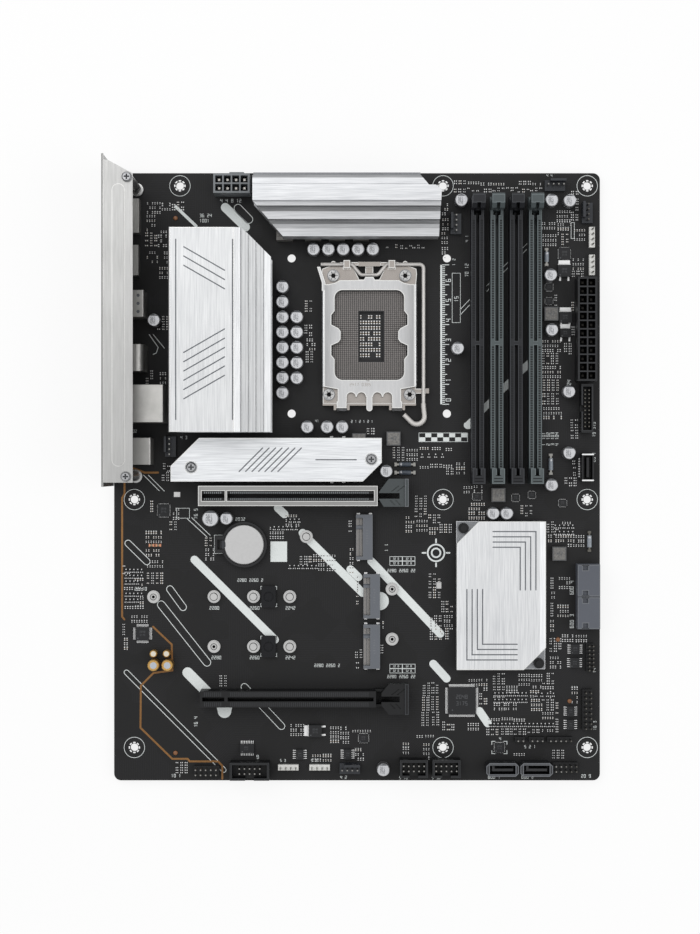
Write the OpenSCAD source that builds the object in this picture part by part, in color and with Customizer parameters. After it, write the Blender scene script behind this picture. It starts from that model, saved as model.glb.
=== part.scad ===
// Full-size desktop motherboard with a lever socket, memory latches and card latches.
// Lengths are in millimetres. Plan positions count from the lower left corner of the board,
// heights count up from the component face of the board.

/* [Board] */
// Width from the rear connector edge to the front edge
board_w = 243.84; // [240:0.01:250]
// Length from the bottom edge to the top edge
board_l = 304.8; // [303:0.1:312]
// Thickness of the laminate
board_t = 1.6; // [1.2:0.1:2.0]
// Radius of the board corners
board_corner_r = 3.5; // [1:0.5:5]
// Room under the board for solder joints and the socket back plate
under_room = 2.2; // [2:0.1:3]
// Diameter of the chassis screw holes
chassis_hole_d = 3.96; // [3.5:0.01:4.5]
// Hole column beside the rear edge
hole_x_rear = 10.16; // [8:0.01:11]
// Column of the hole near the top left corner
hole_x_top = 33.02; // [30:0.01:36]
// Hole column in the middle of the board
hole_x_mid = 165.10; // [163:0.01:167]
// Hole row near the bottom edge
hole_y_low = 16.51; // [15:0.01:18]
// Hole row at mid length
hole_y_mid = 140.97; // [139:0.01:142]
// Distance of the outer holes from the front edge and from the top edge
hole_inset = 6.35; // [5:0.01:8]

/* [Fits] */
// Clearance around pivots and other moving faces
joint_gap = 0.3; // [0.2:0.05:0.4]
// Clearance between a screw and its hole
screw_gap = 0.1; // [0.05:0.05:0.3]
// Clearance of the shield openings around the rear ports
port_gap = 0.3; // [0.2:0.05:0.5]

/* [Rear shield] */
// Length of the shield plate
shield_l = 160; // [158:0.5:162]
// Height of the shield plate
shield_h = 44.45; // [42:0.05:46]
// Sheet thickness
shield_t = 0.8; // [0.5:0.1:1.0]
// Gap between the plate and the board edge
shield_gap = 0.3; // [0.2:0.1:0.6]
// How far the plate runs past the top edge of the board
shield_past = 3; // [2:0.5:4]
// Reach of the upper flange over the board
flange_w = 14.2; // [13.8:0.1:15]
// Outside radius of the bend
shield_bend_r = 1.4; // [1.2:0.1:2]
// Width of the raised stiffening bead
bead_w = 5.6; // [4:0.1:6]
// Bare length of the flange beyond each end of the bead
bead_margin = 12.5; // [12:0.5:20]
// Diameter of the shield pillars
pillar_d = 5; // [4.6:0.1:5.4]
// Diameter of the shield screws
shield_screw_d = 2.6; // [2:0.1:3]

/* [Rear ports] */
// Width of a two-deck port
usb_w = 13.2; // [13.1:0.1:14]
// Height of a two-deck port
usb_h = 15.6; // [15.4:0.1:17]
// Width of a port mouth
usb_mouth_w = 12.4; // [12:0.1:12.6]
// Height of a port mouth
usb_mouth_h = 5.1; // [4.8:0.1:5.4]
// Depth of a port mouth
usb_deep = 9; // [7:0.5:11]
// Width of the network port block
lan_w = 18.2; // [17:0.1:19]
// Height of the network port block
lan_h = 27; // [26.5:0.1:29]
// Reach of the network port block over the board
lan_back = 27.4; // [24:0.1:28]

/* [Power plugs] */
// Spacing of the power contacts
cell_pitch = 4.2; // [4.1:0.05:4.3]
// Side of one square cell
cell_size = 3.5; // [3.2:0.1:3.7]
// Height of the power plugs
plug_h = 12.8; // [12:0.1:14]
// Side of a square power contact
power_pin = 1.1; // [0.8:0.1:1.4]

/* [Voltage regulator] */
// Width of the left heat sink
left_sink_w = 49.6; // [49:0.1:51]
// Length of the left heat sink
left_sink_l = 99.4; // [98:0.1:100]
// Height of the left heat sink
left_sink_h = 30; // [27:0.5:34]
// Length of the top heat sink
top_sink_l = 92.2; // [92:0.1:93]
// Height of the top heat sink
top_sink_h = 28; // [26:0.5:32]
// Height of a power stage package
stage_h = 1.0; // [0.7:0.1:1.3]
// Thickness of the thermal pads
pad_t = 0.8; // [0.4:0.1:1.2]
// Side of a choke
choke_w = 8; // [7:0.1:8.5]
// Height of a choke
choke_h = 7; // [5:0.1:7.5]
// Diameter of a polymer capacitor
cap_d = 6.3; // [5.5:0.1:6.5]
// Height of a polymer capacitor
cap_h = 8; // [6:0.5:10]

/* [CPU socket] */
// Middle of the socket across the board
cpu_x = 128.07; // [127.5:0.01:128.5]
// Middle of the socket along the board
cpu_y = 223.1; // [222.6:0.1:223.6]
// Spacing of the cooler holes, both ways
cooler_pitch = 78; // [75:0.5:80]
// Diameter of the cooler holes
cooler_hole_d = 4.1; // [3.8:0.1:4.4]
// Width of the processor package
package_w = 37.5; // [36:0.1:38]
// Length of the processor package
package_l = 45; // [44:0.1:45.5]
// Height of the contact floor
seat_z = 2.8; // [2.4:0.1:3.2]
// Height of the socket rim
socket_h = 4.3; // [3.8:0.1:4.6]
// Sheet thickness of the frame
frame_t = 1.2; // [1:0.1:1.5]
// Sheet thickness of the load plate
plate_t = 1.2; // [1:0.1:1.6]
// Height of the load plate's underside
plate_z = 5.2; // [5:0.1:5.5]
// Width of the load plate
plate_w = 47.4; // [46.5:0.1:48]
// Width of the load plate window
window_w = 34.7; // [33:0.1:36]
// Length of the load plate window
window_l = 44.8; // [43:0.1:45]
// Wire diameter of the lever
lever_d = 1.8; // [1.6:0.1:2]
// Diameter of the lever's handle
handle_d = 2.4; // [2:0.1:2.6]
// Reach of the crank that presses the plate down
crank = 5.3; // [4.8:0.1:5.6]
// Height of the lever axle
axle_z = 3; // [2.8:0.1:3.4]
// Height of the load plate's hinge
hinge_z = 3.2; // [3:0.1:3.4]
// Diameter of the hinge rod
hinge_rod_d = 1.6; // [1.4:0.1:1.8]
// Thread diameter of the frame screws
frame_screw_d = 3.6; // [3:0.1:4]

/* [Memory slots] */
// Middle of the first slot
dimm_x = 181.9; // [181.5:0.1:182.3]
// Spacing of the slots
dimm_pitch = 9.6; // [9.4:0.1:9.7]
// Lower end of the slots
dimm_y = 149; // [148.5:0.1:149.5]
// Width of a slot
dimm_w = 6.3; // [6.1:0.1:6.8]
// Height of a slot's rails
dimm_h = 8.5; // [8.2:0.1:9]
// Width of the card groove
dimm_groove = 1.7; // [1.5:0.1:2]
// Distance from the lower end to the latch pivot
dimm_reach = 137.6; // [137:0.1:138]
// Height of the latches and the fixed ends
dimm_end_h = 19.5; // [17:0.1:21]
// Diameter of a latch pivot
dimm_pin_d = 2; // [1.6:0.1:2.2]

/* [Card slots] */
// Left end of the card slots
card_x = 43.9; // [43:0.1:44.5]
// Length of a card slot
card_l = 87.4; // [86.5:0.1:88]
// Width of a card slot
card_w = 8; // [7.5:0.1:8.2]
// Height of a card slot
card_h = 11.25; // [10.5:0.05:12]
// Width of the card groove
card_groove = 2; // [1.8:0.1:2.4]
// Middle line of the upper slot
card_y_up = 142.97; // [142.8:0.01:143.2]
// Middle line of the lower slot
card_y_low = 42.06; // [40:0.01:44]
// Sheet thickness of the steel armour
armour_t = 0.8; // [0.5:0.1:0.9]
// Diameter of a latch pivot
card_pin_d = 1.8; // [1.5:0.1:2]
// Height of the latch pivot
card_pin_z = 2.6; // [2.5:0.1:3]

/* [Storage] */
// Height of the M.2 sockets
m2_h = 4.2; // [3.8:0.1:4.6]
// Height of the M.2 stand-offs
m2_post_h = 2.4; // [2:0.1:3]
// Underside of the M.2 heat sink
m2_sink_z = 6; // [5.6:0.1:7]
// Thickness of the M.2 heat sink
m2_sink_t = 6; // [4:0.1:8]
// Pitch of side by side SATA ports
sata_pitch = 16.2; // [16:0.1:16.6]
// Height of the upright SATA ports
sata_h = 10; // [8:0.1:12]

/* [Chipset] */
// Width of the chipset heat sink
chip_sink_w = 44.3; // [43:0.1:45]
// Length of the chipset heat sink
chip_sink_l = 73.8; // [72:0.1:75]
// Height of the chipset package
chip_h = 1.6; // [1.2:0.1:2]
// Thickness of the heat sink's lower plate
chip_plate_t = 2.8; // [2:0.1:3.5]
// Thickness of the heat sink's upper block
chip_block_t = 4; // [3:0.1:6]
// Shaft diameter of the push pins
push_pin_d = 2.8; // [2.4:0.1:3.2]

/* [Battery] */
// Diameter of the coin cell
cell_d = 20; // [19.5:0.1:20.5]
// Thickness of the coin cell
cell_t = 3.2; // [2.5:0.1:3.6]
// Thickness of the holder's floor
holder_floor = 1.2; // [0.8:0.1:1.6]

/* [Headers] */
// Side of a square header pin
header_pin = 0.64; // [0.5:0.02:0.8]
// Spacing of the header pins
header_pitch = 2.54; // [2.5:0.01:2.6]
// Height of the header pins
header_pin_h = 8.5; // [7:0.1:9]
// Height of the plastic strips
strip_h = 2.6; // [2:0.1:3]
// Height of the boxed headers
shroud_h = 9; // [8:0.1:10]

/* [Hidden] */
$fn = 32;
over = 1;
pcb_top = board_t + under_room;
shield_x0 = -shield_gap - shield_t;
shield_y1 = board_l + shield_past;
shield_y0 = shield_y1 - shield_l;
shield_top = shield_h - pcb_top;
mid_x = (shield_x0 + board_w) / 2;
mid_y = shield_y1 / 2;

// Chassis holes, cooler holes and shield pillars
hole_x_front = board_w - hole_inset;
hole_y_top = board_l - hole_inset;
chassis_holes = [
    for (x = [hole_x_rear, hole_x_mid, hole_x_front], y = [hole_y_low, hole_y_mid]) [x, y],
    for (x = [hole_x_top, hole_x_mid, hole_x_front]) [x, hole_y_top]];
cooler_holes = [for (sx = [-1, 1], sy = [-1, 1])
    [cpu_x + sx * cooler_pitch / 2, cpu_y + sy * cooler_pitch / 2]];
pillars = [[11.4, shield_y1 - 11.4], [10.9, shield_y0 + 4.9]];

// Rear ports: each stands at a share of the shield's length; then its reach over the board
function along_shield(share) = shield_y0 + share * shield_l;
usb_places = [[along_shield(0.564), 16.6], [along_shield(0.397), 16.8], [along_shield(0.108), 20]];
usb_levels = [1.3, 8.8];
lan_y = along_shield(0.253);
lan_jack = [11.8, 8.2];
lan_jack_z = usb_levels[1] + usb_mouth_h + 3.6;
dp = [along_shield(0.842), 17, 7.2, 13.3];
hdmi = [along_shield(0.704), 15.1, 6.6, 12.9];

// Power plugs
plug_margin = 1.2;
plug_floor = 2.6;
cpu_plug = [59.7, 297.8];
atx_plug = [236, 225.7];

// Heat sinks of the voltage regulator
left_sink = [30.2, 174.4];
top_sink = [70.9, 270.5];
top_sink_d = 28.9;
sink_base_z = choke_h + 1;
sink_base_t = 4;
rib_gap = 0.6;
sink_foot_z = stage_h + pad_t;
sink_screw_d = 2.4;
left_foot_x = [left_sink[0] + 22, left_sink[0] + 34];
top_foot_y = [top_sink[1] + 16, top_sink[1] + 26];
sink_legs = [[left_sink[0] + 6, left_sink[1] + 8], [left_sink[0] + 6, left_sink[1] + left_sink_l - 8],
    [top_sink[0] + 7, top_sink[1] + 23.5], [top_sink[0] + top_sink_l - 6, top_sink[1] + 17.5]];
left_phases = [for (i = [0:7]) left_sink[1] + 10 + 11 * i];
top_phases = [85.75, 99.95, 111.9, 123.9];

// Polymer capacitors: the regulator's rows, then the single ones around the board
cap_rows = [
    for (i = [0:7]) [84.7, 247.15 - 7.55 * i], for (i = [0:4]) [91.9, 232.1 - 7.6 * i],
    for (i = [0:4]) [100.2 + 7.4 * i, 265.8], [97.1, 177.3], [107, 177.3], [114.5, 177.3]];
cap_singles = [[136.5, 155.2], [56.8, 131.7], [173.9, 290.2], [218.9, 290.2], [227.9, 290],
    [218.4, 253], [219, 225.7], [172.1, 216.5], [227.5, 194.9], [227.6, 164.3], [218.8, 148.4],
    [189.7, 134.3], [196.5, 134.3], [135, 6.6], [20.7, usb_places[0][0] - usb_w / 2 - 1]];
wide_cap = [49, 131.7, 8];
audio_caps = [[20.3, 64.1, 3.7, 6], [26.8, 64.1, 3.7, 6], [20.5, 58.5, 5.8, 8], [27.4, 58.5, 5.8, 8]];

// Socket: rim, frame screws, axle and hinge places
cpu = [cpu_x, cpu_y];
package_gap = 0.15;
socket_wall = 1.2;
socket_w = package_w + 2 * (package_gap + socket_wall);
socket_l = package_l + 2 * (package_gap + socket_wall);
frame_screws = [for (s = [-1, 1]) each [cpu + [s * 18, 30], cpu + [s * 20.2, -29.5]]];
frame_head_d = 6.1;
frame_head_h = 2.2;
frame_hole_d = frame_screw_d + 2 * screw_gap;
axle_y = cpu_y + 35.6;
saddle_x = [9.6, 12.9];
arm_x = plate_w / 2 + 3.4;
hinge_y = cpu_y - 36.1;
knuckle_d = hinge_rod_d + 2 * (joint_gap + 0.6);
knuckle_spans = [[-16.3, -11.4], [11.4, 16.3]];
tongue_w = 3;
plate_bend_r = plate_t - 0.1;

// Memory slots
dimm_floor = 2.5;
dimm_pivot_z = 2.5;
dimm_pivot_y = dimm_y + dimm_reach;
dimm_channel = 3.8;
dimm_ear_r = dimm_h - dimm_pivot_z;

// Card slots
card_x1 = card_x + card_l;
card_pin_x = card_x1 + 4.7;
card_floor = 3;
card_key_x = card_x + 13;
card_cheek = [3.2, 4.4];
card_leg = [1.4, 2.9];
card_latch_z = [6.2, 11];

// Storage
m2_places = [[108, 150, 22], [121.4, 110.9, 22.6], [125.1, 81.6, 22.1], [125.1, 56.4, 22.1]];
m2_sink_lo = [29.5, 150.1];
m2_sink_hi = [134.1, 171.7];
m2_sink_screws = [[39.7, 157.2], [129, 161.1]];
m2_nuts = [[19.9, 92.2], [50.2, 67.3], [139.5, 96.1], [139.5, 71], [50.2, 92.3], [70, 92.3],
    [88.2, 92.3], [70, 67.3], [88.2, 67.3], [96.5, 122.4]];
m2_rests = [[77.6, 92.3], [77.6, 67.3]];
m2_lip = 3.4;
sata_edge = [231.7, 76.5];
sata_edge_d = 11.2;
sata_edge_h = 8.2;
sata_up = [186.1, 3.5];
sata_up_d = 6.8;

// Chipset and battery
chip_sink = [171.5, 56.4];
chip_mid = chip_sink + [chip_sink_w, chip_sink_l] / 2;
chip_size = [25, 24];
chip_pad_t = 0.6;
chip_sink_z = chip_h + chip_pad_t;
chip_ledge = 11;
push_pins = [chip_sink + [3.5, chip_sink_l - 3.4], chip_sink + [chip_sink_w - 3.2, 3]];
coin = [65.4, 118.5];
holder_d = cell_d + 2.8;

// Headers: middle, turn, then columns, rows and spacing where they differ
fans = [[221, 298.2, 0], [171.4, 279, 90], [237.2, 284.5, 90], [118.3, 6.3, 0], [28.5, lan_y - 20.8, 90]];
fan_size = [10.2, 5.4];
lights = [[239.6, 272.4, 90], [239.6, 258.5, 90], [87.5, 6.8, 0], [103.2, 6.8, 0]];
light_size = [10.2, 2.8];
strips = [[46.6, 5.2, 0, 5, 2, header_pitch], [226.1, 6.9, 0, 5, 2, header_pitch],
    [238.6, 62, 90, 7, 2, 2], [237.2, 35.8, 90, 8, 2, header_pitch],
    [203.4, 20.9, 0, 2, 1, header_pitch], [211.7, 20.9, 0, 3, 1, header_pitch],
    [223.4, 20.9, 0, 5, 1, header_pitch]];
boxes = [[68.4, 5.8, 19.6, 8.9], [150.2, 7.1, 13.9, 8.8], [166.4, 7.1, 13.9, 8.8]];
box_wall = 1.1;
usb3 = [236.4, 186.5, 5.9, 24.1];
usb_c = [236.7, 157.1, 5.9, 13.8];

// Chips as middle, size and height; then inductors and diodes
chips = [[174.5, 40.1, 14, 13.8, 1.4], [14.3, 73.7, 6.8, 6.8, 1.2], [24.9, 135.5, 6.1, 6.5, 0.9],
    [226, 264.3, 6, 6.2, 0.9], [66.8, 16.2, 7, 4.6, 1.6], [93.2, 13.1, 3.9, 5, 1.5],
    [117.2, 13.2, 3.9, 5, 1.5], [231.3, 65.9, 4.4, 5, 1.6], [231.1, 59.1, 4.4, 5, 1.6],
    [229, 34.8, 3.7, 5, 1.5], [229, 28.1, 3.7, 5, 1.5], [125.2, 21.2, 5, 4.5, 0.8],
    [193.4, 16.5, 5, 5, 0.8], [182.2, 142.5, 4.5, 3.5, 0.8], [201.5, 141.8, 3.8, 3.6, 0.8],
    [209.7, 143.3, 3.6, 3.5, 0.8], [225.1, 139.2, 4, 3.6, 0.8], [218.3, 247.6, 3.9, 3.9, 0.8],
    [218.3, 240.6, 3.9, 3.4, 0.8]];
tab_chips = [[225.9, 255.6, 6.6, 6], [226.4, 232.3, 6.4, 5.4], [226.4, 224.5, 5.4, 4.4],
    [101, 25, 6.5, 6]];
inductors = [[140.2, 171.5], [122.9, 170.7], [219.2, 234], [192.7, 143.3], [223.2, 113.9]];
inductor_w = 6.9;
inductor_h = 3.2;
diodes = [[217, 262.6, 90, 9], [219.1, 158.7, 90, 10.6], [238.4, 120, 90, 10.5], [146, 158.6, 0, 10.6],
    [146, 154.5, 0, 10.6]];
diode_d = 2.3;

// Shared helpers

// Moves plan positions so that the whole part stands centred on the origin.
module place() translate([-mid_x, -mid_y, pcb_top]) children();

module block(x0, x1, y0, y1, z0, z1) translate([x0, y0, z0]) cube([x1 - x0, y1 - y0, z1 - z0]);

module brick(c, size, z0, z1)
    block(c[0] - size[0] / 2, c[0] + size[0] / 2, c[1] - size[1] / 2, c[1] + size[1] / 2, z0, z1);

module post(p, d, z0, z1) translate([p[0], p[1], z0]) cylinder(d = d, h = z1 - z0);

module slab(points, z0, z1) translate([0, 0, z0]) linear_extrude(z1 - z0) polygon(points);

module rod_x(x0, x1, y, z, d) translate([x0, y, z]) rotate([0, 90, 0]) cylinder(d = d, h = x1 - x0);

module rod_y(y0, y1, x, z, d) translate([x, y1, z]) rotate([90, 0, 0]) cylinder(d = d, h = y1 - y0);

// A drawing of y and height, swept across the board.
module along_x(x0, x1) translate([x0, 0, 0]) rotate([90, 0, 90]) linear_extrude(x1 - x0) children();

// A drawing of x and height, swept along the board.
module along_y(y0, y1) translate([0, y1, 0]) rotate([90, 0, 0]) linear_extrude(y1 - y0) children();

module rect(x0, x1, y0, y1) translate([x0, y0]) square([x1 - x0, y1 - y0]);

module round_rect(x0, x1, y0, y1, r) {
    rect(x0 + r, x1 - r, y0, y1);
    rect(x0, x1, y0 + r, y1 - r);
    for (x = [x0 + r, x1 - r], y = [y0 + r, y1 - r]) translate([x, y]) circle(r);
}

// A rectangle with one upper corner rounded; the left one, or the right one when flip is set.
module corner_rect(x0, x1, y0, y1, r, flip = false) {
    rect(x0, x1, y0, y1 - r);
    rect(flip ? x0 : x0 + r, flip ? x1 - r : x1, y0, y1);
    translate([flip ? x1 - r : x0 + r, y1 - r]) circle(r);
}

module pan_screw(p, head_d, head_h, shaft_d, z, shaft_l) {
    slot_l = head_d * 0.55;
    slot_w = head_d * 0.16;
    difference() {
        union() {
            post(p, head_d, z, z + head_h * 0.6);
            translate([p[0], p[1], z + head_h * 0.6])
                cylinder(d1 = head_d, d2 = head_d * 0.72, h = head_h * 0.4);
        }
        brick(p, [slot_l, slot_w], z + head_h * 0.4, z + head_h + over);
        brick(p, [slot_w, slot_l], z + head_h * 0.4, z + head_h + over);
    }
    post(p, shaft_d, z - shaft_l, z);
}

module header_at(h) translate([h[0], h[1], 0]) rotate([0, 0, h[2]]) children();

// Board, shield and rear ports

module pcb() place() color("#2b2b2c") difference() {
    translate([0, 0, -board_t]) linear_extrude(board_t) round_rect(0, board_w, 0, board_l, board_corner_r);
    for (p = chassis_holes) post(p, chassis_hole_d, -board_t - over, over);
    for (p = cooler_holes) post(p, cooler_hole_d, -board_t - over, over);
    for (p = frame_screws) post(p, frame_hole_d, -board_t - over, over);
    for (p = sink_legs) post(p, sink_screw_d + 2 * screw_gap, -board_t - over, over);
    for (p = push_pins) post(p, push_pin_d + 2 * screw_gap, -board_t - over, over);
}

// The plate stands outside the board edge and bends inwards over the ports.
module shield_profile() difference() {
    corner_rect(shield_x0, flange_w, -pcb_top, shield_top, shield_bend_r);
    corner_rect(shield_x0 + shield_t, flange_w + over, -pcb_top - over, shield_top - shield_t,
        shield_bend_r - shield_t);
}

function shield_outline() = let (edge = shield_x0 + shield_t + 0.4, foot = shield_y0 + 2) [
    [shield_x0 - over, shield_y0 - over], [edge, shield_y0 - over], [edge, foot], [flange_w + over, foot],
    [flange_w + over, shield_y1 - 10], [flange_w - 2.2, shield_y1 - 8.5], [2.6, shield_y1 - 3.4],
    [edge, shield_y1 - 2.9], [edge, shield_y1 + over], [shield_x0 - over, shield_y1 + over]];

module port_hole(y, w, h)
    block(shield_x0 - over, shield_x0 + shield_t + 0.2, y - w / 2 - port_gap, y + w / 2 + port_gap,
        -port_gap, h + port_gap);

module io_shield() place() color("#cfd1d2") difference() {
    bead_x = 7.3;
    bead_y = along_shield(0.485);
    bead_l = shield_l - 2 * bead_margin;
    union() {
        intersection() {
            along_y(shield_y0, shield_y1) shield_profile();
            slab(shield_outline(), -pcb_top - over, shield_top + over);
        }
        translate([0, 0, shield_top]) linear_extrude(0.4) round_rect(bead_x - bead_w / 2,
            bead_x + bead_w / 2, bead_y - bead_l / 2, bead_y + bead_l / 2, bead_w / 2 - 0.1);
    }
    for (p = pillars) post(p, shield_screw_d + 2 * screw_gap, shield_top - shield_t - over, shield_top + over);
    for (u = usb_places) port_hole(u[0], usb_w, usb_h);
    port_hole(lan_y, lan_w, lan_h);
    for (v = [dp, hdmi]) port_hole(v[0], v[1], v[2]);
}

module io_shield_standoffs() place() color("#c4c6c8") for (p = pillars) difference() {
    union() {
        post(p, pillar_d, 0, shield_top - shield_t);
        post(p, pillar_d + 1.6, 0, 1);
    }
    post(p, shield_screw_d + 2 * screw_gap, shield_top - shield_t - 8, shield_top);
}

module io_shield_screws() place() color("#d8dadb")
    for (p = pillars) pan_screw(p, 4.9, 1.7, shield_screw_d, shield_top, shield_t + 6);

module usb_mouths(y) for (z = usb_levels)
    block(shield_x0 - over, shield_x0 + usb_deep, y - usb_mouth_w / 2, y + usb_mouth_w / 2, z, z + usb_mouth_h);

module usb_stacks() place() color("#c9cbcc") for (i = [0:2]) {
    y = usb_places[i][0];
    back = usb_places[i][1];
    difference() {
        along_y(y - usb_w / 2, y + usb_w / 2) corner_rect(shield_x0, back, 0, usb_h, i == 1 ? 4 : 0.6, true);
        usb_mouths(y);
        if (i == 0) for (dy = [-4, 0, 4]) post([back - 2.8, y + dy], 1.8, usb_h - 0.3, usb_h + over);
        if (i == 2) block(shield_x0 + 2, back - 1, y - 0.15, y + 0.15, usb_h - 0.25, usb_h + over);
    }
}

module lan_usb_stack() place() color("#b9bab8") difference() {
    z = lan_jack_z;
    along_y(lan_y - lan_w / 2, lan_y + lan_w / 2) corner_rect(shield_x0, lan_back, 0, lan_h, 0.6, true);
    usb_mouths(lan_y);
    block(shield_x0 - over, shield_x0 + 14, lan_y - lan_jack[0] / 2, lan_y + lan_jack[0] / 2,
        z, z + lan_jack[1]);
    block(shield_x0 - over, shield_x0 + 10, lan_y - 3, lan_y + 3, z - 1.8, z + 1);
}

module video_ports() place() color("#c9cbcc") for (v = [dp, hdmi]) difference() {
    wall = 0.5;
    block(shield_x0, v[3], v[0] - v[1] / 2, v[0] + v[1] / 2, 0, v[2]);
    block(shield_x0 - over, shield_x0 + usb_deep, v[0] - v[1] / 2 + wall, v[0] + v[1] / 2 - wall,
        1.2, v[2] - wall);
}

// Contact tongues stand on the rear wall of each mouth.
module rear_port_tongues() place() color("#1c1d1f") {
    root = shield_x0 + usb_deep;
    tip = shield_x0 + 1.2;
    for (y = [for (u = usb_places) u[0], lan_y], z = usb_levels)
        block(tip, root, y - usb_mouth_w * 0.44, y + usb_mouth_w * 0.44, z + 2.7, z + 4.5);
    for (v = [dp, hdmi]) block(tip, root, v[0] - v[1] * 0.36, v[0] + v[1] * 0.36, v[2] / 2, v[2] / 2 + 1.2);
    block(shield_x0 + 5, shield_x0 + 14, lan_y - 4.5, lan_y + 4.5, lan_jack_z + lan_jack[1] - 2,
        lan_jack_z + lan_jack[1] - 0.5);
}

// Power plugs

function plug_w(n) = n * cell_pitch + plug_margin;

function cell_places(c, nx, ny) = [for (i = [0:nx - 1], j = [0:ny - 1])
    c + [(i - (nx - 1) / 2) * cell_pitch, (j - (ny - 1) / 2) * cell_pitch]];

module plug(c, nx, ny) difference() {
    brick(c, [plug_w(nx), plug_w(ny)], 0, plug_h);
    for (p = cell_places(c, nx, ny)) brick(p, [cell_size, cell_size], plug_floor, plug_h + over);
}

module catch_shape(at) polygon([[at, 5], [at + 1.2, 8], [at + 1.2, 9.6], [at, 9.6]]);

module cpu_power_connector() place() color("#8d9092") {
    plug(cpu_plug, 4, 2);
    along_x(cpu_plug[0] - 1.2, cpu_plug[0] + 6) catch_shape(cpu_plug[1] + plug_w(2) / 2);
}

module atx_power_connector() place() color("#1d1d1f") {
    plug(atx_plug, 2, 12);
    along_y(atx_plug[1] - 5.2, atx_plug[1] + 2.2) catch_shape(atx_plug[0] + plug_w(2) / 2);
}

module power_pins() place() color("#d8c9a0")
    for (p = concat(cell_places(cpu_plug, 4, 2), cell_places(atx_plug, 2, 12)))
        brick(p, [power_pin, power_pin], plug_floor, plug_h - 3);

// Voltage regulator

module left_sink_profile() {
    x = left_sink[0];
    top = left_sink_h;
    fin0 = x + 35.4;
    fin_step = (left_sink_w - 35.4 + rib_gap) / 4;
    polygon([[x, top - 4], [x + 34.8, top - 4], [x + 34.8, top - 1.2], [x + 31.8, top], [x + 0.5, top],
        [x, top - 0.5]]);
    for (dx = [3, 16.5, 31.5]) rect(x + dx, x + dx + 3.2, sink_base_z, top - 1);
    rect(x + 3, x + left_sink_w, sink_base_z, sink_base_z + sink_base_t);
    rect(left_foot_x[0], left_foot_x[1], sink_foot_z, sink_base_z + 1);
    // Four fins that widen into a ribbed roof with shallow grooves
    for (i = [0:3]) {
        x0 = fin0 + i * fin_step;
        rect(x0, x0 + 2.2, sink_base_z + 1, top - 6);
        rect(x0 - rib_gap - 0.1, x0 + fin_step - rib_gap, top - 8, top - 3 - 0.5 * i);
        rect(x0, x0 + fin_step - rib_gap, top - 5, top - 2 - 0.5 * i);
    }
}

module sink_leg(p) difference() {
    post(p, 6, 0, sink_base_z + 1);
    post(p, sink_screw_d + 2 * screw_gap, -over, sink_base_z - 1);
}

module vrm_heatsink_left() place() color("#d5d8da") {
    x1 = left_sink[0] + left_sink_w;
    y1 = left_sink[1] + left_sink_l;
    intersection() {
        along_y(left_sink[1], y1) left_sink_profile();
        slab([left_sink, [x1, left_sink[1]], [x1, y1 - 14], [x1 - 11.2, y1 - 2.8], [x1 - 14.8, y1],
            [left_sink[0], y1]], 0, left_sink_h);
    }
    for (i = [0, 1]) sink_leg(sink_legs[i]);
}

module top_sink_profile() {
    y = top_sink[1];
    top = top_sink_h;
    difference() {
        rect(y + 16.7, y + top_sink_d, top - 4, top);
        rect(y + 24.4, y + 24.9, top - 0.4, top + over);
    }
    for (dy = [17.5, 26.4]) rect(y + dy, y + dy + 2.5, sink_base_z, top - 1);
    rect(y + 1.5, y + top_sink_d, sink_base_z, sink_base_z + sink_base_t);
    rect(y + 14.3, y + 17, top - 6, top - 2);
    rect(y + 8, y + 11.8, sink_base_z + 1, top - 4);
    rect(y, y + 4, sink_base_z + 1, top - 7);
    rect(y + 3.9, y + 6.2, sink_base_z + 1, top - 8);
    // Floors of the two grooves between the fins
    rect(y + 11.6, y + 14.5, top - 9, top - 6.2);
    rect(y + 6, y + 8.2, top - 12, top - 9.6);
    rect(y + top_sink_d - 0.5, y + top_sink_d + 2.5, sink_base_z + sink_base_t, top - 8);
}

module vrm_heatsink_top() place() color("#d5d8da") {
    x = top_sink[0];
    y = top_sink[1];
    x1 = x + top_sink_l;
    intersection() {
        along_x(x, x1) top_sink_profile();
        slab([[x, y + 32], [x, y + 16.6], [x + 14.6, y], [x1 - 1, y], [x1, y + 22.1], [x1 - 2.9, y + 24.2],
            [x1 - 6.2, y + 24.2], [x1 - 10.1, y + 28.7], [x1 - 10.1, y + 32]], 0, top_sink_h);
    }
    block(top_phases[0] - 5, top_phases[3] + 5, top_foot_y[0], top_foot_y[1], sink_foot_z, sink_base_z + 1);
    for (i = [2, 3]) sink_leg(sink_legs[i]);
}

module thermal_pads() place() color("#8f9aa0") {
    block(left_foot_x[0] + 1, left_foot_x[1] - 1, left_phases[0] - 4, left_phases[7] + 4, stage_h, sink_foot_z);
    block(top_phases[0] - 4, top_phases[3] + 4, top_foot_y[0] + 1, top_foot_y[1] - 1, stage_h, sink_foot_z);
    brick(chip_mid, chip_size - [4, 4], chip_h, chip_sink_z);
    block(m2_sink_lo[0] + 18, m2_places[0][0] - 3, m2_sink_lo[1] + 2, m2_sink_hi[1] - 2,
        m2_sink_z - 1, m2_sink_z);
}

module power_stages() place() color("#252628") {
    for (y = left_phases) brick([(left_foot_x[0] + left_foot_x[1]) / 2, y], [6, 5], 0, stage_h);
    for (x = top_phases) brick([x, (top_foot_y[0] + top_foot_y[1]) / 2], [5, 6], 0, stage_h);
}

module choke(c) {
    brick(c, [choke_w, choke_w], 0.6, choke_h);
    brick(c, [choke_w - 3, choke_w - 1], 0, 0.6);
}

module vrm_chokes() place() color("#55585a") {
    for (y = left_phases) choke([left_sink[0] + 41.5, y]);
    for (x = top_phases) choke([x, top_sink[1] + choke_w / 2 - 0.1]);
}

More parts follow.
